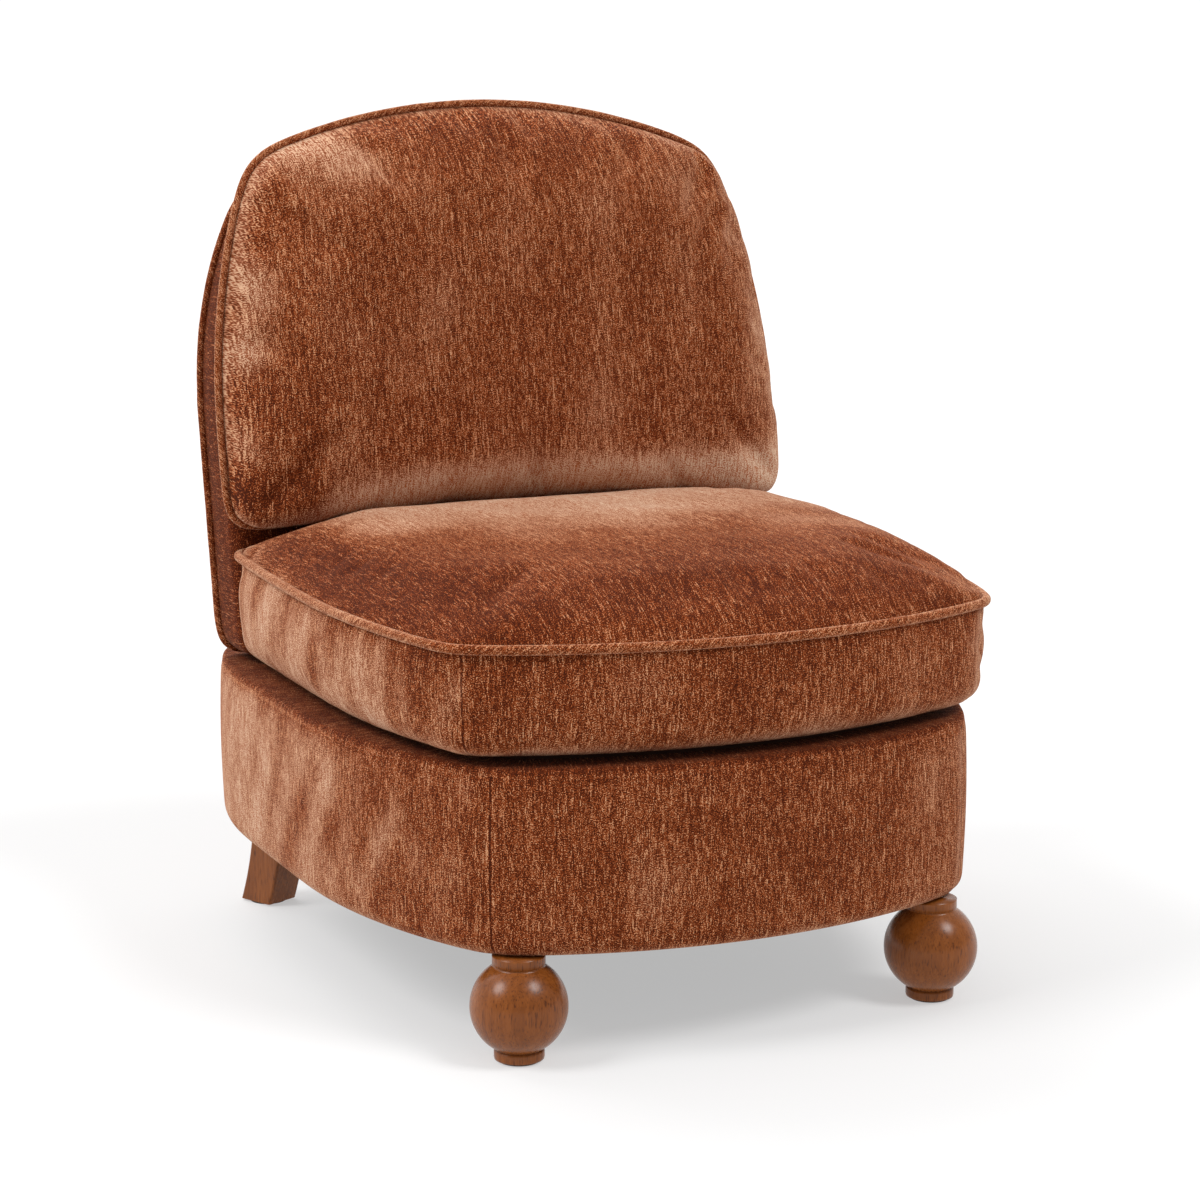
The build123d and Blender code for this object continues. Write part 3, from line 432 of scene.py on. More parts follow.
class Form:
    """Quads that share points, with weave coordinates in metres at each corner."""

    def __init__(self):
        self.points = []
        self.faces = []
        self.weave = []
        self.count = 0

    def add_points(self, points):
        """Add places and give their point numbers."""
        points = np.asarray(points, float).reshape(-1, 3)
        first = self.count
        self.points.append(points)
        self.count += len(points)
        return np.arange(first, self.count)

    def add_grid(self, index, weave, flip=False):
        """Quads over a grid of point numbers, with a weave coordinate for each grid place."""
        corners = [index[:-1, :-1], index[:-1, 1:], index[1:, 1:], index[1:, :-1]]
        spots = [weave[:-1, :-1], weave[:-1, 1:], weave[1:, 1:], weave[1:, :-1]]
        if flip:
            corners, spots = corners[::-1], spots[::-1]
        self.faces.append(np.stack(corners, -1).reshape(-1, 4))
        self.weave.append(np.stack(spots, 2).reshape(-1, 4, 2))

    def make(self, name, cloth, body):
        """Piece of the scene from these quads, on one body of the chair."""
        mesh = bpy.data.meshes.new(name)
        mesh.from_pydata(np.concatenate(self.points).tolist(), [], np.concatenate(self.faces).tolist())
        layer = mesh.uv_layers.new(name="weave")
        layer.data.foreach_set("uv", np.concatenate(self.weave).astype(np.float32).ravel())
        mesh.polygons.foreach_set("use_smooth", np.ones(len(mesh.polygons), bool))
        mesh.materials.append(cloth)
        piece = add_object(name, mesh)
        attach(piece, body)
        return piece


def border_of(index):
    """Point numbers round the edge of a grid, anticlockwise."""
    return np.concatenate([index[0, :-1], index[:-1, -1], index[-1, :0:-1], index[:0:-1, 0]])


def walked(grid, axis):
    """Lengths along the lines of a grid of places, from their starts."""
    steps = np.linalg.norm(np.diff(grid, axis=axis), axis=2)
    start = np.zeros_like(np.take(steps, [0], axis))
    return np.concatenate([start, np.cumsum(steps, axis)], axis)


def arc_weave(grid):
    """Weave coordinates of a grid of places, as lengths on the surface from its middle lines."""
    rows, columns = grid.shape[:2]
    across = walked(grid, 1)
    along = walked(grid, 0)
    across -= across[:, columns // 2][:, None]
    along -= along[rows // 2, :][None, :]
    return np.stack([across, along], -1)


def strip_weave(rings):
    """Weave coordinates of a closed strip, along its longest ring and across it."""
    closed = np.concatenate([rings, rings[:, :1]], 1)
    around = walked(closed, 1)
    longest = around[np.argmax(around[:, -1])]
    across = walked(closed, 0)
    return np.stack([np.broadcast_to(longest, across.shape), -across], -1)


def set_attribute(piece, name, values):
    """Store one number for each point of a piece."""
    attribute = piece.data.attributes.new(name, "FLOAT", "POINT")
    attribute.data.foreach_set("value", np.asarray(values, np.float32))


def vectors(items, name):
    """One vector for each item of a mesh."""
    flat = np.zeros(len(items) * 3, np.float32)
    items.foreach_get(name, flat)
    return flat.reshape(-1, 3).astype(float)


def points_of(piece):
    """Places of a piece's points."""
    return vectors(piece.data.vertices, "co")


def normals_of(piece):
    """Outward directions at a piece's points."""
    return vectors(piece.data.vertex_normals, "vector")


def move_points(piece, points):
    """Put a piece's points at new places."""
    piece.data.vertices.foreach_set("co", np.asarray(points, np.float32).ravel())
    piece.data.update()


def keep_edge(piece, ring):
    """Keep a seam sharp when the piece is subdivided."""
    held = np.zeros(len(piece.data.vertices), bool)
    held[ring] = True
    pairs = np.zeros(len(piece.data.edges) * 2, np.int32)
    piece.data.edges.foreach_get("vertices", pairs)
    crease = piece.data.attributes.new("crease_edge", "FLOAT", "EDGE")
    crease.data.foreach_set("value", held[pairs.reshape(-1, 2)].all(1).astype(np.float32))


def smooth_once(piece):
    """One level of subdivision."""
    modifier = piece.modifiers.new("finer", "SUBSURF")
    modifier.levels = 1
    modifier.render_levels = 1


def inflate(piece, held, spare, limit):
    """Let the fabric of a cushion swell under pressure, with its seams held, and keep the result."""
    start = points_of(piece)
    group = piece.vertex_groups.new(name="seams")
    group.add(held.tolist(), 1.0, "REPLACE")
    cloth = piece.modifiers.new("swell", "CLOTH")
    settings = cloth.settings
    settings.quality = 6
    settings.mass = 0.25
    settings.tension_stiffness = 20
    settings.compression_stiffness = 20
    settings.shear_stiffness = 8
    settings.bending_stiffness = 0.6
    settings.use_pressure = True
    settings.uniform_pressure_force = SIM_PRESSURE
    settings.effector_weights.gravity = 0
    settings.vertex_group_mass = group.name
    settings.shrink_min = -spare
    cloth.collision_settings.use_collision = False
    cloth.point_cache.frame_start = 1
    cloth.point_cache.frame_end = SIM_FRAMES
    scene = bpy.context.scene
    for step in range(1, SIM_FRAMES + 1):
        scene.frame_set(step)
    shaped = piece.evaluated_get(bpy.context.evaluated_depsgraph_get())
    moved = points_of(shaped) - start
    piece.modifiers.remove(cloth)
    piece.vertex_groups.remove(group)
    scene.frame_set(1)
    reach = np.linalg.norm(moved, axis=1, keepdims=True)
    moved *= np.minimum(1, limit / np.maximum(reach, 1e-9))
    move_points(piece, start + moved)


def tube(name, line, radius, cloth, body):
    """Closed welt along a ring of places in space, cut on the bias."""
    ahead = np.roll(line, -1, 0) - np.roll(line, 1, 0)
    ahead /= np.linalg.norm(ahead, axis=1, keepdims=True)
    out = line - line.mean(0)
    out -= (out * ahead).sum(1, keepdims=True) * ahead
    out /= np.linalg.norm(out, axis=1, keepdims=True)
    up = np.cross(ahead, out)
    closed = np.vstack([line, line[:1]])
    reach = np.concatenate([[0], np.cumsum(np.linalg.norm(np.diff(closed, axis=0), axis=1))])
    thick = radius * (1 + WELT_UNEVEN * ripple(reach[:-1], WELT_WAVE, WELT_SEED))
    turn = np.linspace(0, 2 * math.pi, WELT_SIDES, endpoint=False)
    around = np.cos(turn)[None, :, None] * out[:, None] + np.sin(turn)[None, :, None] * up[:, None]
    rings = line[:, None] + thick[:, None, None] * around
    form = Form()
    index = form.add_points(rings).reshape(len(line), WELT_SIDES)
    looped = np.vstack([index, index[:1]])
    looped = np.hstack([looped, looped[:, :1]])
    girth = np.linspace(0, 2 * math.pi * radius, WELT_SIDES + 1)
    weave = np.stack([reach[:, None] + girth, girth - reach[:, None]], -1) / math.sqrt(2)
    form.add_grid(looped, weave, flip=True)
    piece = form.make(name, cloth, body)
    set_attribute(piece, "seam", np.full(form.count, NO_SEAM))
    smooth_once(piece)
    return piece


# Materials

def material(name):
    """New material with its node tree and shader."""
    made = bpy.data.materials.new(name)
    made.use_nodes = True
    tree = made.node_tree
    return made, tree, tree.nodes["Principled BSDF"]


def node(tree, kind, **inputs):
    """Add a node; each input, by name or as i and its number, is a value or another node's output."""
    made = tree.nodes.new(kind)
    for key, value in inputs.items():
        numbered = key[0] == "i" and key[1:].isdigit()
        socket = made.inputs[int(key[1:]) if numbered else key]
        if isinstance(value, bpy.types.NodeSocket):
            tree.links.new(value, socket)
        else:
            socket.default_value = value
    return made


def maths(tree, operation, first, second, third=0.0):
    """Result of a sum on up to three values."""
    made = node(tree, "ShaderNodeMath", i0=first, i1=second, i2=third)
    made.operation = operation
    return made.outputs[0]


def total(tree, first, *others):
    """Values added up in their order."""
    for other in others:
        first = maths(tree, "ADD", first, other)
    return first


def stretched_noise(tree, source, scale, detail=2.0, rough=0.55):
    """Noise on stretched coordinates; scale is how many waves fit a metre along each axis."""
    mapping = node(tree, "ShaderNodeMapping", Vector=source, Scale=scale)
    made = node(
        tree, "ShaderNodeTexNoise", Vector=mapping.outputs[0], Scale=1.0, Detail=detail, Roughness=rough
    )
    return made.outputs["Fac"]


def blend_range(tree, value, low, high, out_low, out_high):
    """Smooth change from one value to another while the input goes from low to high."""
    made = node(tree, "ShaderNodeMapRange", i0=value, i1=low, i2=high, i3=out_low, i4=out_high)
    made.interpolation_type = "SMOOTHSTEP"
    return made.outputs[0]


def ramp(tree, value, stops):
    """Colour ramp from (place, colour) pairs."""
    made = node(tree, "ShaderNodeValToRGB", Fac=value)
    band = made.color_ramp
    while len(band.elements) < len(stops):
        band.elements.new(0.5)
    for element, (place, colour) in zip(band.elements, stops):
        element.position = place
        element.color = (*colour, 1)
    return made.outputs[0]


def dress(tree, shader, colour, height, strength, distance):
    """Give a shader its colour and a bump from a height."""
    bump = node(tree, "ShaderNodeBump", Strength=strength, Distance=distance, Height=height)
    tree.links.new(colour, shader.inputs["Base Color"])
    tree.links.new(bump.outputs[0], shader.inputs["Normal"])


# Chenille: yarns as pitch across and run along, noise as waves to a metre
RIB_YARN = (0.0011, 0.0060)
SLUB_YARN = (0.0011, 0.0095)
WEFT_YARN = (0.0013, 0.0030)
BUNDLE_YARN = (0.0023, 0.0340)
STAGGER = 9.0  # most runs by which a column of yarn is shifted
PILE_WAVES = (1000, 860, 1)
BRUSHED_WAVES = (18, 9, 1)
BRUSHED_ROUGH = 0.45

# What each adds to the fabric's tone, and the ranges in which it does
THREAD_LEVEL = -1.37
RIB_DEPTH = 0.54
BUNDLE_DEPTH = 0.20
WEFT_DEPTH = 0.20
SLUB_RANGE = (0.89, 0.96)
SLUB_DEPTH = 0.38
PILE_DEPTH = 2.5
BRUSHED_LEVEL = 0.405
BRUSHED_DEPTH = 0.18
# Painted sheen: the tone is a little darker where the surface faces the view and paler where it turns
# away
PAINTED_SHEEN_RANGE = (0.20, 0.95)
PAINTED_SHEEN_TONES = (-0.07, 0.15)
# Brushed patches together with painted light, shade and sheen: how far they shift the tone, and where
# they bare a pale pile, partly brushed and partly painted sheen
PATCH_AND_LIGHT_RANGE = (-0.1, 1.1)
PATCH_AND_LIGHT_TONES = (-0.36, 0.50)
BARED_AND_SHEEN_RANGE = (0.40, 1.05)
BARED_AND_SHEEN_MOST = 0.92
# Painted shade in the crease of a seam, and a painted highlight on the cloth just beside it
CREASE_RANGE = (0.0003, 0.0018)
CREASE_TONES = (-0.50, 0.18)
RIM_RANGE = (0.0018, 0.0055)
RIM_TONES = (0.0, -0.18)

# Fabric colours, from the pile's depth to the palest places, where brushing and painted light pale the
# pile
RUST_DARK = (0.052, 0.0090, 0.0020)
RUST = (0.203, 0.0345, 0.0056)
RUST_LIGHT = (0.368, 0.1060, 0.0335)
RUST_PALE = (0.585, 0.2950, 0.1550)
# pale bared pile, mostly painted sheen on lit and grazing places
RUST_BARE_AND_SHEEN = (0.640, 0.4800, 0.3500)
RUST_STOPS = ((0.0, RUST_DARK), (0.42, RUST), (0.74, RUST_LIGHT), (1.0, RUST_PALE))
BARED_AND_SHEEN_STOPS = ((0.05, RUST_LIGHT), (0.65, RUST_BARE_AND_SHEEN))
SHEEN_TINT = (1.0, 0.72, 0.54, 1)

# Lift of the tone on the three welts: painted light on the back cushion's welt and the seat piping,
# painted shade on the back's rear welt
PILLOW_WELT_PAINTED_LIGHT = 0.15
SEAT_PIPING_PAINTED_LIGHT = 0.04
BACK_WELT_PAINTED_SHADE = -0.06

# Stained wood
WOOD_STOPS = (
    (0.15, (0.070, 0.0165, 0.0030)),
    (0.5, (0.205, 0.0580, 0.0092)),
    (0.85, (0.330, 0.1040, 0.0200)),
)
GRAIN_WAVES = (240, 240, 16)
GRAIN_LEVEL = 0.06
GRAIN_DEPTH = 0.42
CLOUD_WAVES = (24, 24, 9)
CLOUD_DEPTH = 0.48
PORE_WAVES = (950, 950, 95)
PORE_RANGE = (0.60, 0.74)
PORE_DEPTH = 0.26
LACQUER_RANGE = (0.3, 0.8)
LACQUER_ROUGH = (0.24, 0.32)

# Hidden materials
TIMBER_WAVES = (30, 160, 160)
TIMBER_STOPS = ((0.3, (0.42, 0.27, 0.14)), (0.7, (0.66, 0.48, 0.29)))
CLOTH_WOBBLE = 1.2
CLOTH_CLOUD_WAVES = (40, 40, 40)
CROSS_DEPTH = 0.6
CLOTH_CLOUD_DEPTH = 0.5
SPECK_WAVES = (350, 350, 350)
SPECK_RANGE = (0.3, 0.7)
SPECK_ROUGH = 0.12


def yarns(tree, across, along, yarn, layer):
    """Random value from 0 to 1 for each short run of yarn, in columns of one pitch."""
    pitch, run = yarn
    column = maths(tree, "FLOOR", maths(tree, "DIVIDE", across, pitch), 0.0)
    thread = node(tree, "ShaderNodeCombineXYZ", X=column, Z=layer)
    stagger = node(tree, "ShaderNodeTexWhiteNoise", Vector=thread.outputs[0])
    runs = maths(tree, "DIVIDE", along, run)
    shifted = maths(tree, "ADD", runs, maths(tree, "MULTIPLY", stagger.outputs["Value"], STAGGER))
    cell = node(tree, "ShaderNodeCombineXYZ", X=column, Y=maths(tree, "FLOOR", shifted, 0.0), Z=layer)
    return node(tree, "ShaderNodeTexWhiteNoise", Vector=cell.outputs[0]).outputs["Value"]


def chenille(name, painted_lift=0.0):
    """Rust chenille velvet: slubby ribs in bundles, a speckled pile and paler brushed patches, with
    painted sheen at grazing angles, painted light and shade from a point attribute, and painted shade in
    seam creases with a painted highlight beside them.
    """
    made, tree, shader = material(name)
    weave_map = node(tree, "ShaderNodeUVMap")
    weave_map.uv_map = "weave"
    weave = weave_map.outputs[0]
    spot = node(tree, "ShaderNodeSeparateXYZ", Vector=weave).outputs
    rib = yarns(tree, spot["X"], spot["Y"], RIB_YARN, 1.0)
    slub = yarns(tree, spot["X"], spot["Y"], SLUB_YARN, 2.0)
    weft = yarns(tree, spot["Y"], spot["X"], WEFT_YARN, 3.0)
    bundle = yarns(tree, spot["X"], spot["Y"], BUNDLE_YARN, 4.0)
    pile = stretched_noise(tree, weave, PILE_WAVES, detail=0.0)
    brushed = stretched_noise(tree, weave, BRUSHED_WAVES, rough=BRUSHED_ROUGH)
    # point attribute: random brushed patches with painted light and shade
    nap_and_painted_light = node(tree, "ShaderNodeAttribute")
    nap_and_painted_light.attribute_name = "nap_and_painted_light"
    seam = node(tree, "ShaderNodeAttribute")
    seam.attribute_name = "seam"
    thread = total(
        tree,
        maths(tree, "MULTIPLY_ADD", rib, RIB_DEPTH, THREAD_LEVEL + painted_lift),
        maths(tree, "MULTIPLY", bundle, BUNDLE_DEPTH),
        blend_range(tree, slub, *SLUB_RANGE, 0.0, SLUB_DEPTH),
        maths(tree, "MULTIPLY", weft, WEFT_DEPTH),
        maths(tree, "MULTIPLY", pile, PILE_DEPTH),
    )
    # painted sheen: paler where the surface turns away from view
    facing = node(tree, "ShaderNodeLayerWeight", Blend=0.5).outputs["Facing"]
    painted_sheen = blend_range(tree, facing, *PAINTED_SHEEN_RANGE, *PAINTED_SHEEN_TONES)
    # brushed patches plus painted light, shade and sheen; the pile turns pale where they are high
    brushing_and_light = maths(tree, "MULTIPLY_ADD", brushed, BRUSHED_DEPTH, BRUSHED_LEVEL)
    brushing_and_light = total(tree, brushing_and_light, nap_and_painted_light.outputs["Fac"], painted_sheen)
    bared_and_sheen = blend_range(tree, brushing_and_light, *BARED_AND_SHEEN_RANGE, 0.0, BARED_AND_SHEEN_MOST)
    brushing_and_light_tone = blend_range(tree, brushing_and_light, *PATCH_AND_LIGHT_RANGE, *PATCH_AND_LIGHT_TONES)
    # painted shade in seam creases, with a painted highlight beside them
    crease = blend_range(tree, seam.outputs["Fac"], *CREASE_RANGE, *CREASE_TONES)
    rim = blend_range(tree, seam.outputs["Fac"], *RIM_RANGE, *RIM_TONES)
    tone = total(tree, thread, brushing_and_light_tone, maths(tree, "ADD", crease, rim))
    colour = ramp(tree, tone, RUST_STOPS)
    pale = ramp(tree, thread, BARED_AND_SHEEN_STOPS)
    colour = node(tree, "ShaderNodeMixRGB", Fac=bared_and_sheen, Color1=colour, Color2=pale).outputs[0]
    dress(tree, shader, colour, maths(tree, "ADD", rib, pile), strength=0.5, distance=0.0010)
    shader.inputs["Roughness"].default_value = 0.86
    shader.inputs["Specular IOR Level"].default_value = 0.08
    shader.inputs["Sheen Weight"].default_value = 0.06
    shader.inputs["Sheen Roughness"].default_value = 0.30
    shader.inputs["Sheen Tint"].default_value = SHEEN_TINT
    return made


def stained_wood(name):
    """Walnut-stained wood with fine upright grain under satin lacquer."""
    made, tree, shader = material(name)
    place = node(tree, "ShaderNodeTexCoord").outputs["Object"]
    grain = stretched_noise(tree, place, GRAIN_WAVES, detail=3.0)
    cloud = stretched_noise(tree, place, CLOUD_WAVES)
    pores = stretched_noise(tree, place, PORE_WAVES, detail=0.0)
    tone = maths(tree, "MULTIPLY_ADD", grain, GRAIN_DEPTH, GRAIN_LEVEL)
    tone = maths(tree, "MULTIPLY_ADD", cloud, CLOUD_DEPTH, tone)
    tone = maths(tree, "SUBTRACT", tone, blend_range(tree, pores, *PORE_RANGE, 0.0, PORE_DEPTH))
    dress(tree, shader, ramp(tree, tone, WOOD_STOPS), tone, strength=0.12, distance=0.0004)
    rough = blend_range(tree, grain, *LACQUER_RANGE, *LACQUER_ROUGH)
    tree.links.new(rough, shader.inputs["Roughness"])
    shader.inputs["Specular IOR Level"].default_value = 0.28
    return made


def plain_wood(name):
    """Raw frame timber."""
    made, tree, shader = material(name)
    place = node(tree, "ShaderNodeTexCoord").outputs["Object"]
    grain = stretched_noise(tree, place, TIMBER_WAVES, detail=4.0, rough=0.6)
    dress(tree, shader, ramp(tree, grain, TIMBER_STOPS), grain, strength=0.2, distance=0.0005)
    shader.inputs["Roughness"].default_value = 0.72
    return made


def woven(name, dark, light, pitch):
    """Plain woven cloth of one colour."""
    made, tree, shader = material(name)
    place = node(tree, "ShaderNodeTexCoord").outputs["Object"]
    waves = 1 / pitch / math.pi
    warp = node(tree, "ShaderNodeTexWave", Vector=place, Scale=waves, Distortion=CLOTH_WOBBLE)
    weft = node(tree, "ShaderNodeTexWave", Vector=place, Scale=waves, Distortion=CLOTH_WOBBLE)
    weft.bands_direction = "Y"
    cross = maths(tree, "MULTIPLY", warp.outputs["Fac"], weft.outputs["Fac"])
    cloud = stretched_noise(tree, place, CLOTH_CLOUD_WAVES, detail=3.0)
    crossed = maths(tree, "MULTIPLY", cross, CROSS_DEPTH)
    tone = maths(tree, "MULTIPLY_ADD", cloud, CLOTH_CLOUD_DEPTH, crossed)
    colour = ramp(tree, tone, ((0.2, dark), (0.8, light)))
    dress(tree, shader, colour, cross, strength=0.3, distance=0.0004)
    shader.inputs["Roughness"].default_value = 0.9
    return made


def moulded(name, dark, light, metallic, rough):
    """Hard small parts: plated steel or nylon, with a fine surface."""
    made, tree, shader = material(name)
    place = node(tree, "ShaderNodeTexCoord").outputs["Object"]
    speck = stretched_noise(tree, place, SPECK_WAVES, detail=3.0)
    colour = ramp(tree, speck, ((0.3, dark), (0.7, light)))
    dress(tree, shader, colour, speck, strength=0.1, distance=0.0002)
    roughness = blend_range(tree, speck, *SPECK_RANGE, rough, rough + SPECK_ROUGH)
    tree.links.new(roughness, shader.inputs["Roughness"])
    shader.inputs["Metallic"].default_value = metallic
    return made


CHENILLE = chenille("chenille")
# lit and shaded copies of the chenille for the welts: painted light and painted shade
LIT_WELT_CHENILLE = chenille("chenille_welt_painted_light", PILLOW_WELT_PAINTED_LIGHT)
LIT_PIPING_CHENILLE = chenille("chenille_piping_painted_light", SEAT_PIPING_PAINTED_LIGHT)
SHADED_REAR_WELT_CHENILLE = chenille("chenille_rear_welt_painted_shade", BACK_WELT_PAINTED_SHADE)
STAINED = stained_wood("stained_walnut")
LINERS = {
    "frame_wood": plain_wood("raw_timber"),
    "stained_wood": STAINED,
    "webbing": woven("elastic_webbing", (0.012, 0.012, 0.013), (0.05, 0.05, 0.052), 0.0022),
    "cambric": woven("black_cambric", (0.006, 0.006, 0.006), (0.022, 0.022, 0.022), 0.0012),
    "steel": moulded("zinc_plated_steel", (0.45, 0.45, 0.44), (0.62, 0.62, 0.60), 1.0, 0.32),
    "zip": moulded("nylon_zip", (0.05, 0.016, 0.006), (0.09, 0.03, 0.012), 0.0, 0.5),
    "glide": moulded("nylon_glide", (0.028, 0.016, 0.010), (0.05, 0.03, 0.02), 0.0, 0.46),
    "chenille": CHENILLE,
    "foam": woven("fibre", (0.55, 0.52, 0.44), (0.75, 0.72, 0.62), 0.004),
}
DECKING = woven("decking_cloth", (0.060, 0.021, 0.010), (0.125, 0.050, 0.026), 0.0014)


def paint_nodes():
    """Give every CAD node the finish of its slot."""
    slots = {row["node"]: row["material_slot"] for row in frame["record"]["subparts"]}
    for name, piece in frame["nodes"].items():
        piece.data.materials.clear()
        piece.data.materials.append(LINERS[slots[name]])


def nap_and_painted_light_of(points, painted_patches, seed, depth):
    """Brushed patches and painted light: smooth random brushed ones, upright streaks of painted sheen on
    the lit left side, and chosen places of painted light and shade.
    """
    # painted sheen: upright streaks only on the lit left side
    left = np.clip((-points[:, 0] - LEFT_START) / LEFT_BLEND, 0, 1)
    streaks = dapple(points * STREAK_STRETCH, STREAK_WAVE, seed + 1)
    total = depth * (dapple(points, NAP_WAVE, seed) + STREAK_DEPTH * left * streaks)
    for place, radius, strength in painted_patches:
        reach = np.linalg.norm((points - np.array(place)) / np.array(radius), axis=1)
        total += strength * np.exp(-reach ** 2)
    return total


def ring_distance(reach, length, column):
    """Distance along a closed ring from one of its columns."""
    gap = abs(reach - reach[column])
    return np.minimum(gap, length - gap)


def ring_reach(ring):
    """Length along a ring at each of its points, and the whole length."""
    steps = abs(np.roll(ring, -1) - ring)
    return np.concatenate([[0], np.cumsum(steps)[:-1]]), steps.sum()


def space(flat, height):
    """Places in space from plan places and heights."""
    flat, height = np.broadcast_arrays(flat, height)
    return np.stack([flat.real, flat.imag, height], -1)


def back_space(flat, depth):
    """Places in space from places on the reclined back and depths behind its front face."""
    flat, depth = np.broadcast_arrays(flat, depth)
    along = BACK_FRONT + depth + flat.imag * math.sin(RECLINE)
    height = BACK_BOTTOM + flat.imag * math.cos(RECLINE)
    return np.stack([flat.real, along, height], -1)


def solid_sheet(piece, thickness):
    """Give a sheet its thickness, inwards."""
    modifier = piece.modifiers.new("thickness", "SOLIDIFY")
    modifier.thickness = thickness
    modifier.offset = -1


# Base upholstery

def base_sections():
    """Sections of the base from its flange up to the ledge, as inset and height, and the seam's row."""
    flange = [
        (BASE_EDGE + (FLANGE - BASE_EDGE) * t, BASE_BOTTOM)
        for t in np.linspace(1, 0, FLANGE_STEPS)[:-1]
    ]
    edge = [
        (BASE_EDGE * (1 - math.sin(angle)), BASE_BOTTOM + BASE_EDGE * (1 - math.cos(angle)))
        for angle in np.linspace(0, math.pi / 2, EDGE_STEPS)
    ]
    low = BASE_BOTTOM + BASE_EDGE
    high = BASE_TOP - BASE_TOP_EDGE
    wall = [
        (-BASE_BELLY * math.sin(math.pi * t), low + (high - low) * t)
        for t in np.linspace(0, 1, WALL_STEPS)[1:]
    ]
    roll = [
        (BASE_TOP_EDGE * (1 - math.cos(angle)), high + BASE_TOP_EDGE * math.sin(angle))
        for angle in np.linspace(0, math.pi / 2, ROLL_STEPS)[1:]
    ]
    ledge = [
        (BASE_TOP_EDGE + (LEDGE - BASE_TOP_EDGE) * t, BASE_TOP)
        for t in np.linspace(0, 1, LEDGE_STEPS)[1:]
    ]
    return flange + edge + wall + roll + ledge, len(flange + edge + wall) - 1


def make_base():
    """Padded base: bowed walls, a rolled top edge with its seam, and upright seams at the corners."""
    sides = bowed_sides(
        BASE_HALF, BASE_FRONT, BASE_SEAM, BASE_TANGENTS, BASE_CORNER, BASE_REAR, PANEL_CELL
    )
    sides = soften(sides, BASE_SOFTEN)
    ring = ring_of(sides)
    out = outward(ring)
    sections, seam_row = base_sections()
    rings = np.array([space(ring - out * inset, height) for inset, height in sections])
    reach, length = ring_reach(ring)
    across = len(sides[0]) - 1
    along = len(sides[1]) - 1
    rear = slice(across + along, 2 * across + along)
    rear_columns = [
        rear.start + int(np.argmin(abs(ring[rear].real - side * BASE_SEAM.real)))
        for side in (1, -1)
    ]
    columns = (0, across, *rear_columns)
    upright = np.min([ring_distance(reach, length, column) for column in columns], axis=0)
    walk = np.concatenate([[0], np.cumsum(np.hypot(*np.diff(np.array(sections), axis=0).T))])
    level = abs(walk - walk[seam_row]) + TOP_SEAM_HIGHLIGHT_SHIFT
    below = np.arange(len(sections))[:, None] <= seam_row
    seam = np.minimum(level[:, None], np.where(below, upright[None, :], NO_SEAM))
    tuck = BASE_TUCK * np.exp(-(seam / PANEL_CELL) ** 2)
    rings -= tuck[..., None] * space(out, 0.0)[None]
    form = Form()
    index = form.add_points(rings).reshape(rings.shape[:2])
    looped = np.hstack([index, index[:, :1]])
    form.add_grid(looped, strip_weave(rings[::-1])[::-1])
    piece = form.make("base_upholstery", CHENILLE, "frame")
    set_attribute(piece, "seam", seam.ravel())
    set_attribute(piece, "nap_and_painted_light", nap_and_painted_light_of(points_of(piece), BASE_PAINTED_LIGHT, *BASE_DAPPLE))
    return piece, sides


def plate(name, sides, inset, level, rise, cloth, thickness):
    """Stretched cloth inside an outline, with its edge lower by rise; also its width, length and area."""
    ring = ring_of(sides)
    inner = split_ring(ring - outward(ring) * inset, sides)
    flat = coons(inner)
    places = space(flat, level - rise * (1 - swell(flat.shape, PLATE_SWELL, PLATE_ROOT)))
    form = Form()
    index = form.add_points(places).reshape(flat.shape)
    form.add_grid(index, arc_weave(places))
    piece = form.make(name, cloth, "frame")
    solid_sheet(piece, thickness)
    along = places[1:, :-1] - places[:-1, :-1]
    across = places[:-1, 1:] - places[:-1, :-1]
    area = np.linalg.norm(np.cross(along, across), axis=2).sum()
    return piece, np.ptp(flat.real), np.ptp(flat.imag), area


# Back

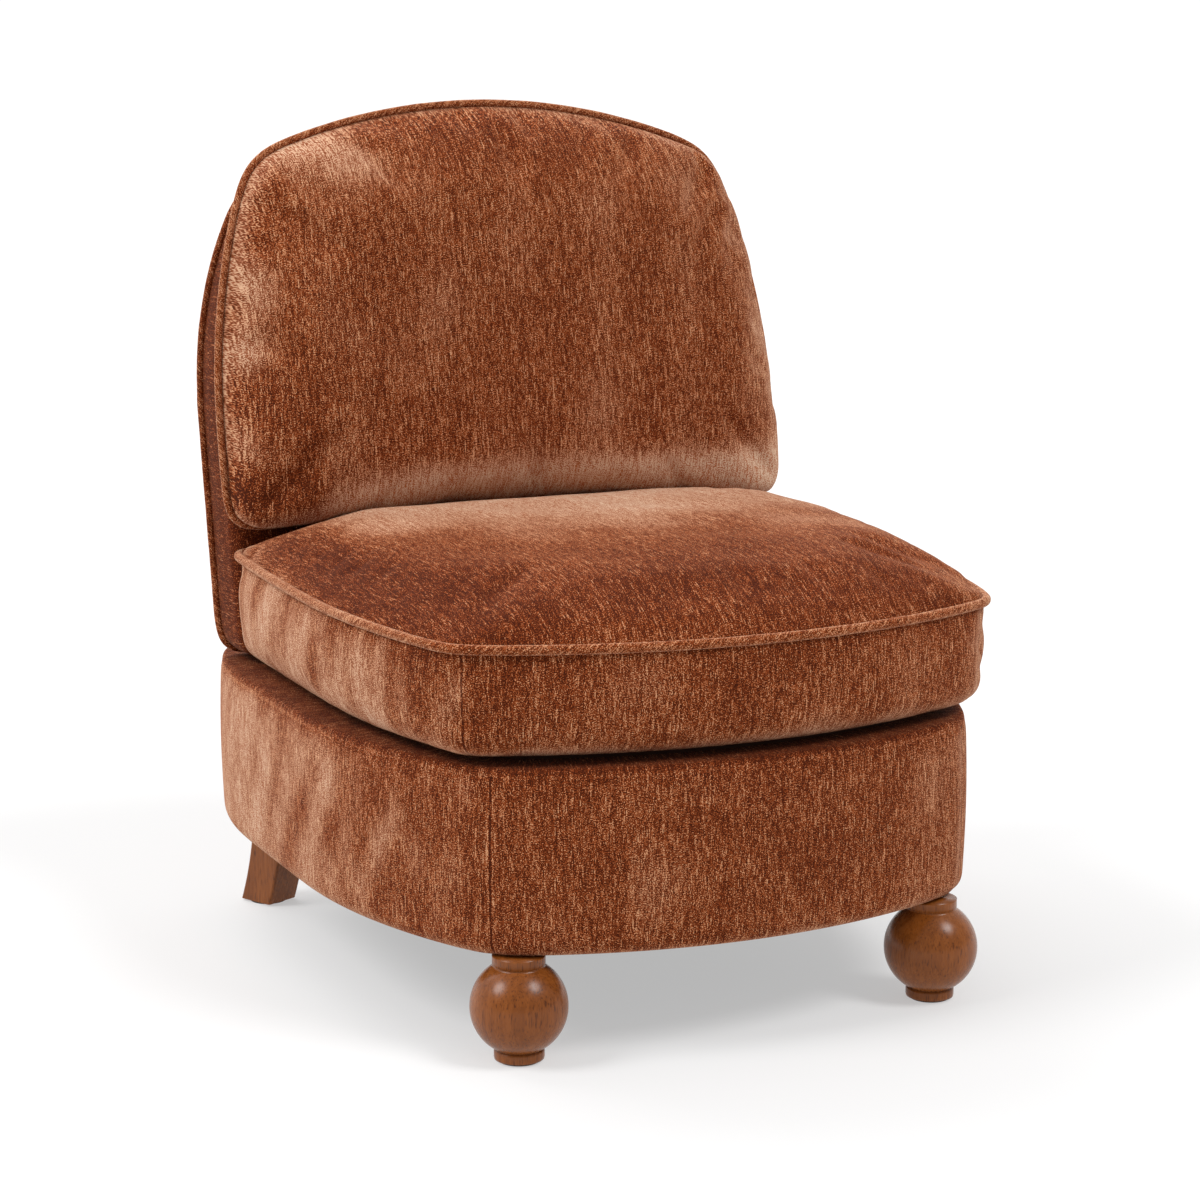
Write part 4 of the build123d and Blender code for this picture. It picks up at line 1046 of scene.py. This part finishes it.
def make_back():
    """Padded dome back: flat inside, rolled front edge, border and outside back in one closed cover."""
    sides = dome_sides(BACK_HALF, 0.0, 0.0, BACK_STRAIGHT, BACK_SHOULDER, BACK_PEAK, PANEL_CELL)
    sides = round_dome(sides, *BACK_SOFTEN)
    ring = ring_of(sides)
    out = outward(ring)
    front = [
        (BACK_EDGE * (1 - math.sin(angle)), BACK_EDGE * (1 - math.cos(angle)))
        for angle in np.linspace(0, math.pi / 2, EDGE_STEPS)
    ]
    deep = BACK_DEPTH - BACK_REAR_EDGE
    border = [
        (-BACK_BELLY * math.sin(math.pi * t), BACK_EDGE + (deep - BACK_EDGE) * t)
        for t in np.linspace(0, 1, BORDER_STEPS)[1:]
    ]
    rear = [
        (BACK_REAR_EDGE * (1 - math.cos(angle)), deep + BACK_REAR_EDGE * math.sin(angle))
        for angle in np.linspace(0, math.pi / 2, REAR_EDGE_STEPS)[1:]
    ]
    sections = front + border + rear
    rings = np.array([back_space(ring - out * inset, depth) for inset, depth in sections])
    faces = []
    for inset, depth in (sections[0], sections[-1]):
        flat = coons(split_ring(ring - out * inset, sides))
        faces.append(back_space(flat, depth))
    form = Form()
    strip = form.add_points(rings).reshape(rings.shape[:2])
    form.add_grid(np.hstack([strip, strip[:, :1]]), strip_weave(rings), flip=True)
    for places, edge, flip in ((faces[0], strip[0], False), (faces[1], strip[-1], True)):
        index = capped(form, places, edge)
        form.add_grid(index, arc_weave(places), flip=flip)
    piece = form.make("back_upholstery", CHENILLE, "frame")
    depths = np.array([depth for _, depth in sections])
    seam = np.full(form.count, NO_SEAM)
    seam[strip] = abs(depths - BACK_COVER_SEAM)[:, None]
    set_attribute(piece, "seam", seam)
    set_attribute(piece, "nap_and_painted_light", nap_and_painted_light_of(points_of(piece), BACK_PAINTED_SHADE, *BACK_DAPPLE))
    return piece, ring, out


def capped(form, places, edge):
    """Point numbers of a grid whose border is points that exist already."""
    rows, columns = places.shape[:2]
    index = np.zeros((rows, columns), int)
    index[1:-1, 1:-1] = form.add_points(places[1:-1, 1:-1]).reshape(rows - 2, columns - 2)
    index[0, :-1] = edge[:columns - 1]
    index[:-1, -1] = edge[columns - 1:columns + rows - 2]
    index[-1, :0:-1] = edge[columns + rows - 2:2 * columns + rows - 3]
    index[:0:-1, 0] = edge[2 * columns + rows - 3:]
    return index


def round_dome(sides, passes, more):
    """Round all corners of a dome, and those of its upper half further."""
    ring = ring_of(soften(sides, passes))
    high = ring.imag > 0.5 * (ring.imag.min() + ring.imag.max())
    rounder = ring_of(soften(split_ring(ring, sides), more))
    return split_ring(np.where(high, rounder, ring), sides)


# Cushions

def make_seat():
    """Boxed seat cushion: crowned top, belly on the boxing, lower edge rolled in, flat underneath."""
    sides = bowed_sides(
        SEAT_HALF, SEAT_FRONT, SEAT_SEAM, SEAT_TANGENTS, SEAT_CORNER, SEAT_REAR, CUSHION_CELL
    )
    sides = soften(sides, SEAT_SOFTEN)
    ring = ring_of(sides)
    out = outward(ring)
    flat = coons(sides)
    crown = (SEAT_CROWN - SEAT_SWELLING) * swell(flat.shape, SEAT_SWELL, SEAT_ROOT)
    top = space(flat, SEAT_PIPING_HEIGHT + SEAT_TILT * flat.imag + crown)
    height = SEAT_PIPING_HEIGHT + SEAT_TILT * ring.imag - SEAT_BOTTOM
    rows = []
    for share in np.linspace(1, 0, BOXING_STEPS)[1:]:
        inset = -SEAT_BELLY * math.sin(math.pi * share)
        rows.append(space(ring - out * inset, SEAT_BOTTOM + SEAT_ROLL + (height - SEAT_ROLL) * share))
    for angle in np.linspace(0, math.pi / 2, SEAT_ROLL_STEPS)[1:]:
        inset = SEAT_ROLL_INSET * (1 - math.cos(angle))
        rows.append(space(ring - out * inset, SEAT_BOTTOM + SEAT_ROLL * (1 - math.sin(angle))))
    under = space(coons(split_ring(ring - out * SEAT_ROLL_INSET, sides)), SEAT_BOTTOM)
    form = Form()
    index = form.add_points(top).reshape(flat.shape)
    edge = border_of(index)
    strip = np.vstack([edge, form.add_points(np.array(rows)).reshape(len(rows), len(ring))])
    base = capped(form, under, strip[-1])
    form.add_grid(index, arc_weave(top))
    rings = np.concatenate([top.reshape(-1, 3)[edge][None], np.array(rows)])
    form.add_grid(np.hstack([strip, strip[:, :1]]), strip_weave(rings), flip=True)
    form.add_grid(base, arc_weave(under), flip=True)
    piece = form.make("seat_cushion_cover", CHENILLE, "seat_cushion")
    inflate(piece, np.concatenate([edge, base.ravel()]), SEAT_SPARE, SEAT_SWELLING)
    reach, length = ring_reach(ring)
    columns = []
    for side in (1, -1):
        gap = abs(ring.real - side * SEAT_BOXING_SEAM_X)
        gap[ring.imag > SEAT_FRONT_PART] = np.inf
        columns.append(int(np.argmin(gap)))
    upright = np.min([ring_distance(reach, length, column) for column in columns], axis=0)
    seam = np.full(form.count, NO_SEAM)
    seam[strip[1:]] = upright[None, :]
    points = points_of(piece)
    points -= (SEAM_TUCK * np.exp(-(seam / CUSHION_CELL) ** 2))[:, None] * normals_of(piece)
    rim = np.full(form.count, NO_SEAM)
    rim[index] = edge_distance(top)
    points[:, 2] += puckers(np.arctan2(points[:, 1], points[:, 0]), rim, **SEAT_PUCKER)
    points += dimples(points, rim, **SEAT_DIMPLE)[:, None] * normals_of(piece)
    move_points(piece, points)
    set_attribute(piece, "seam", seam)
    set_attribute(piece, "nap_and_painted_light", nap_and_painted_light_of(points, SEAT_PAINTED_LIGHT, *SEAT_DAPPLE))
    keep_edge(piece, edge)
    return piece, ring, out


def edge_distance(places):
    """Distance on the surface from each place of a grid to its nearest edge."""
    left = walked(places, 1)
    low = walked(places, 0)
    return np.min([left, left[:, -1:] - left, low, low[-1:] - low], axis=0)


def sag(piece, front, crown, support):
    """Let the lower front of the back cushion sink until it rests on the seat cushion."""
    points = points_of(piece)
    height = points[front, 2] - points[front, 2].min()
    points[front, 2] -= PILLOW_SAG * crown * np.exp(-(height / PILLOW_SAG_REACH) ** 2)
    tree = BVHTree.FromObject(support, bpy.context.evaluated_depsgraph_get())
    for row in front:
        hit = tree.ray_cast(Vector((*points[row, :2], ABOVE)), Vector((0, 0, -1)))[0]
        if hit and points[row, 2] < hit.z + REST_GAP:
            points[row, 2] = hit.z + REST_GAP
    move_points(piece, points)


def make_pillow(support):
    """Knife-edge back cushion: full front, flat rear that leans on the back, puckers along the welt."""
    sides = dome_sides(
        PILLOW_HALF, PILLOW_BOTTOM, PILLOW_BOW, PILLOW_STRAIGHT, PILLOW_SHOULDER, PILLOW_PEAK,
        CUSHION_CELL,
    )
    sides = round_dome(sides, *PILLOW_SOFTEN)
    ring = ring_of(sides)
    flat = coons(sides)
    crown = swell(flat.shape, PILLOW_SWELL, PILLOW_ROOT)
    front = back_space(flat, -PILLOW_SEAM - (PILLOW_CROWN - PILLOW_SWELLING) * crown)
    rear = back_space(flat, -PILLOW_SEAM + PILLOW_REAR * np.minimum(1, PILLOW_REAR_RISE * crown))
    form = Form()
    index = form.add_points(front).reshape(flat.shape)
    edge = border_of(index)
    behind = capped(form, rear, edge)
    upright = np.stack([flat.real, flat.imag], -1)
    form.add_grid(index, upright)
    form.add_grid(behind, upright, flip=True)
    piece = form.make("back_cushion_cover", CHENILLE, "back_cushion")
    inflate(piece, np.concatenate([edge, behind.ravel()]), PILLOW_SPARE, PILLOW_SWELLING)
    sag(piece, index[1:-1, 1:-1].ravel(), crown[1:-1, 1:-1].ravel(), support)
    points = points_of(piece)
    rim = np.full(form.count, NO_SEAM)
    rim[index] = edge_distance(front)
    angle = np.arctan2(points[:, 2] - points[:, 2].mean(), points[:, 0])
    pucker = puckers(angle, rim, **PILLOW_PUCKER) * np.minimum(1, rim / PILLOW_PUCKER_START)
    dimple = dimples(points, rim, **PILLOW_DIMPLE)
    points += (pucker + dimple)[:, None] * normals_of(piece)
    move_points(piece, points)
    set_attribute(piece, "seam", rim)
    set_attribute(piece, "nap_and_painted_light", nap_and_painted_light_of(points, PILLOW_PAINTED_LIGHT, *PILLOW_DAPPLE))
    keep_edge(piece, edge)
    return piece, ring


# Feet

def make_foot(name, side):
    """Turned ball foot with its bottom ring and collar."""
    low = math.asin(FOOT_NECK / BALL)
    high = math.pi - math.asin(FOOT_COLLAR_NECK / BALL)
    ball = [
        (BALL * math.sin(angle), BALL_CENTRE - BALL * math.cos(angle))
        for angle in np.linspace(low, high, BALL_STEPS)
    ]
    soft = FOOT_SOFT
    profile = [
        (FOOT_RING - 2 * soft, FOOT_FLOOR),
        (FOOT_RING - soft / 3, FOOT_FLOOR + soft / 3),
        (FOOT_RING, FOOT_FLOOR + 2 * soft),
        (FOOT_RING, FOOT_RING_TOP - 2 * soft),
        (FOOT_RING - soft / 3, FOOT_RING_TOP - soft / 3),
        (FOOT_RING - 2 * soft, FOOT_RING_TOP),
        (FOOT_NECK, FOOT_RING_TOP + soft / 2),
        *ball[1:-1],
        (FOOT_COLLAR_NECK, FOOT_COLLAR_BOTTOM - soft / 2),
        (FOOT_COLLAR - soft, FOOT_COLLAR_BOTTOM),
        (FOOT_COLLAR, FOOT_COLLAR_BOTTOM + soft),
        (FOOT_COLLAR, BASE_BOTTOM - soft),
        (FOOT_COLLAR, BASE_BOTTOM),
    ]
    turn = np.linspace(0, 2 * math.pi, FOOT_SEGMENTS, endpoint=False)
    centre = np.array([side * FOOT_PLACE.real, FOOT_PLACE.imag, 0])
    rings = np.array([
        np.stack([radius * np.cos(turn), radius * np.sin(turn), np.full(FOOT_SEGMENTS, height)], -1)
        for radius, height in profile
    ]) + centre
    index = np.arange(len(rings) * FOOT_SEGMENTS).reshape(len(rings), FOOT_SEGMENTS)
    ahead = np.roll(index, -1, 1)
    quads = np.stack([index[:-1], ahead[:-1], ahead[1:], index[1:]], -1).reshape(-1, 4)
    faces = [*quads.tolist(), index[0, ::-1].tolist(), index[-1].tolist()]
    mesh = bpy.data.meshes.new(name)
    mesh.from_pydata(rings.reshape(-1, 3).tolist(), [], faces)
    mesh.polygons.foreach_set("use_smooth", np.ones(len(mesh.polygons), bool))
    mesh.materials.append(STAINED)
    piece = add_object(name, mesh)
    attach(piece, "frame")
    return piece


# The chair

SIDES = ("front", "left", "right", "rear")

paint_nodes()

base, base_plan = make_base()
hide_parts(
    "ledge_band",
    *[f"base_{layer}_{side}" for layer in ("cover", "padding") for side in SIDES],
)
smooth_once(base)

deck = plate(
    "deck_platform", base_plan, LEDGE - UNDERLAP, DECK_TOP, DECK_DROP, DECKING, DECK_THICKNESS
)[0]
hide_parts("deck_pad", "deck_cloth")

under, under_width, under_length, under_area = plate(
    "underside_cloth", base_plan, FLANGE - UNDERLAP, UNDERSIDE, 0.0, LINERS["cambric"],
    UNDERSIDE_THICKNESS,
)
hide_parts("dust_cover")

back, back_ring, back_out = make_back()
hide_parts("inside_back_cover", "back_border_cover", "outside_back_cover", "back_pad")
smooth_once(back)
back_welt = tube(
    "back_rear_welt",
    back_space(back_ring + back_out * BACK_WELT_PROUD, BACK_WELT_DEPTH), BACK_WELT,
    SHADED_REAR_WELT_CHENILLE, "frame",
)
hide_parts("back_welt")

seat, seat_ring, seat_out = make_seat()
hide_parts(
    "seat_top_panel", "seat_bottom_panel", "seat_foam",
    *[f"seat_boxing_{side}" for side in SIDES],
)
smooth_once(seat)
piping_plan = seat_ring + seat_out * SEAT_PIPING_PROUD
seat_piping = tube(
    "seat_cushion_piping",
    space(piping_plan, SEAT_PIPING_HEIGHT + SEAT_TILT * piping_plan.imag), SEAT_PIPING,
    LIT_PIPING_CHENILLE, "seat_cushion",
)
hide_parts("seat_piping")

pillow, pillow_ring = make_pillow(seat)
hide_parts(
    "back_cushion_front_panel", "back_cushion_rear_panel", "back_cushion_filling"
)
smooth_once(pillow)
pillow_welt = tube(
    "back_cushion_piping",
    back_space(pillow_ring + outward(pillow_ring) * PILLOW_WELT_PROUD, -PILLOW_SEAM), PILLOW_WELT,
    LIT_WELT_CHENILLE, "back_cushion",
)
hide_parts("back_cushion_welt")

for foot_side, foot_sign in (("left", -1), ("right", 1)):
    foot = make_foot(f"ball_foot_{foot_side}", foot_sign)
    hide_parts(f"front_foot_{foot_side}")


# Stage: pale floor, soft studio light and the photograph's camera

def make_floor():
    """Wide pale floor that glows a little, so that it reads as white in the studio."""
    mesh = bpy.data.meshes.new("floor")
    half = FLOOR_HALF
    corners = [(-half, -half, 0), (half, -half, 0), (half, half, 0), (-half, half, 0)]
    mesh.from_pydata(corners, [], [(0, 1, 2, 3)])
    made, _, shader = material("pale_floor")
    shader.inputs["Base Color"].default_value = (FLOOR_TONE, FLOOR_TONE, FLOOR_TONE, 1)
    shader.inputs["Roughness"].default_value = 0.9
    shader.inputs["Specular IOR Level"].default_value = 0.0
    shader.inputs["Emission Color"].default_value = (1, 1, 1, 1)
    shader.inputs["Emission Strength"].default_value = FLOOR_GLOW
    mesh.materials.append(made)
    floor = add_object("floor", mesh)


def make_world():
    """Pale studio: a white wall behind the chair, dimmer towards the front."""
    world = bpy.data.worlds.new("studio")
    world.use_nodes = True
    tree = world.node_tree
    place = node(tree, "ShaderNodeTexCoord").outputs["Generated"]
    side = node(tree, "ShaderNodeSeparateXYZ", Vector=place)
    glow = blend_range(tree, side.outputs["Y"], *WORLD_BLEND, WORLD_FRONT, WORLD_BACK)
    tree.links.new(glow, tree.nodes["Background"].inputs["Strength"])
    tree.nodes["Background"].inputs["Color"].default_value = (1, 1, 1, 1)
    bpy.context.scene.world = world


def soft_light(name, source, strength, spread):
    """Far, wide studio light that shines from the direction of its source."""
    light = bpy.data.lights.new(name, "SUN")
    light.energy = strength
    light.angle = math.radians(spread)
    lamp = add_object(name, light)
    lamp.rotation_euler = (-Vector(source)).to_track_quat("-Z", "Y").to_euler()


def make_camera():
    """Camera that sees the chair as the photograph does."""
    data = bpy.data.cameras.new("photo_camera")
    data.lens = CAMERA_LENS
    data.sensor_width = CAMERA_SENSOR
    camera = add_object("photo_camera", data)
    camera.location = CAMERA_PLACE
    tilt = math.radians(90 + CAMERA_PITCH)
    camera.rotation_euler = Euler((tilt, 0, -math.radians(CAMERA_YAW)), "XYZ")
    bpy.context.scene.camera = camera


make_floor()
make_world()
for light_row in LIGHTS:
    soft_light(*light_row)
make_camera()
bpy.context.scene.view_settings.view_transform = "Standard"
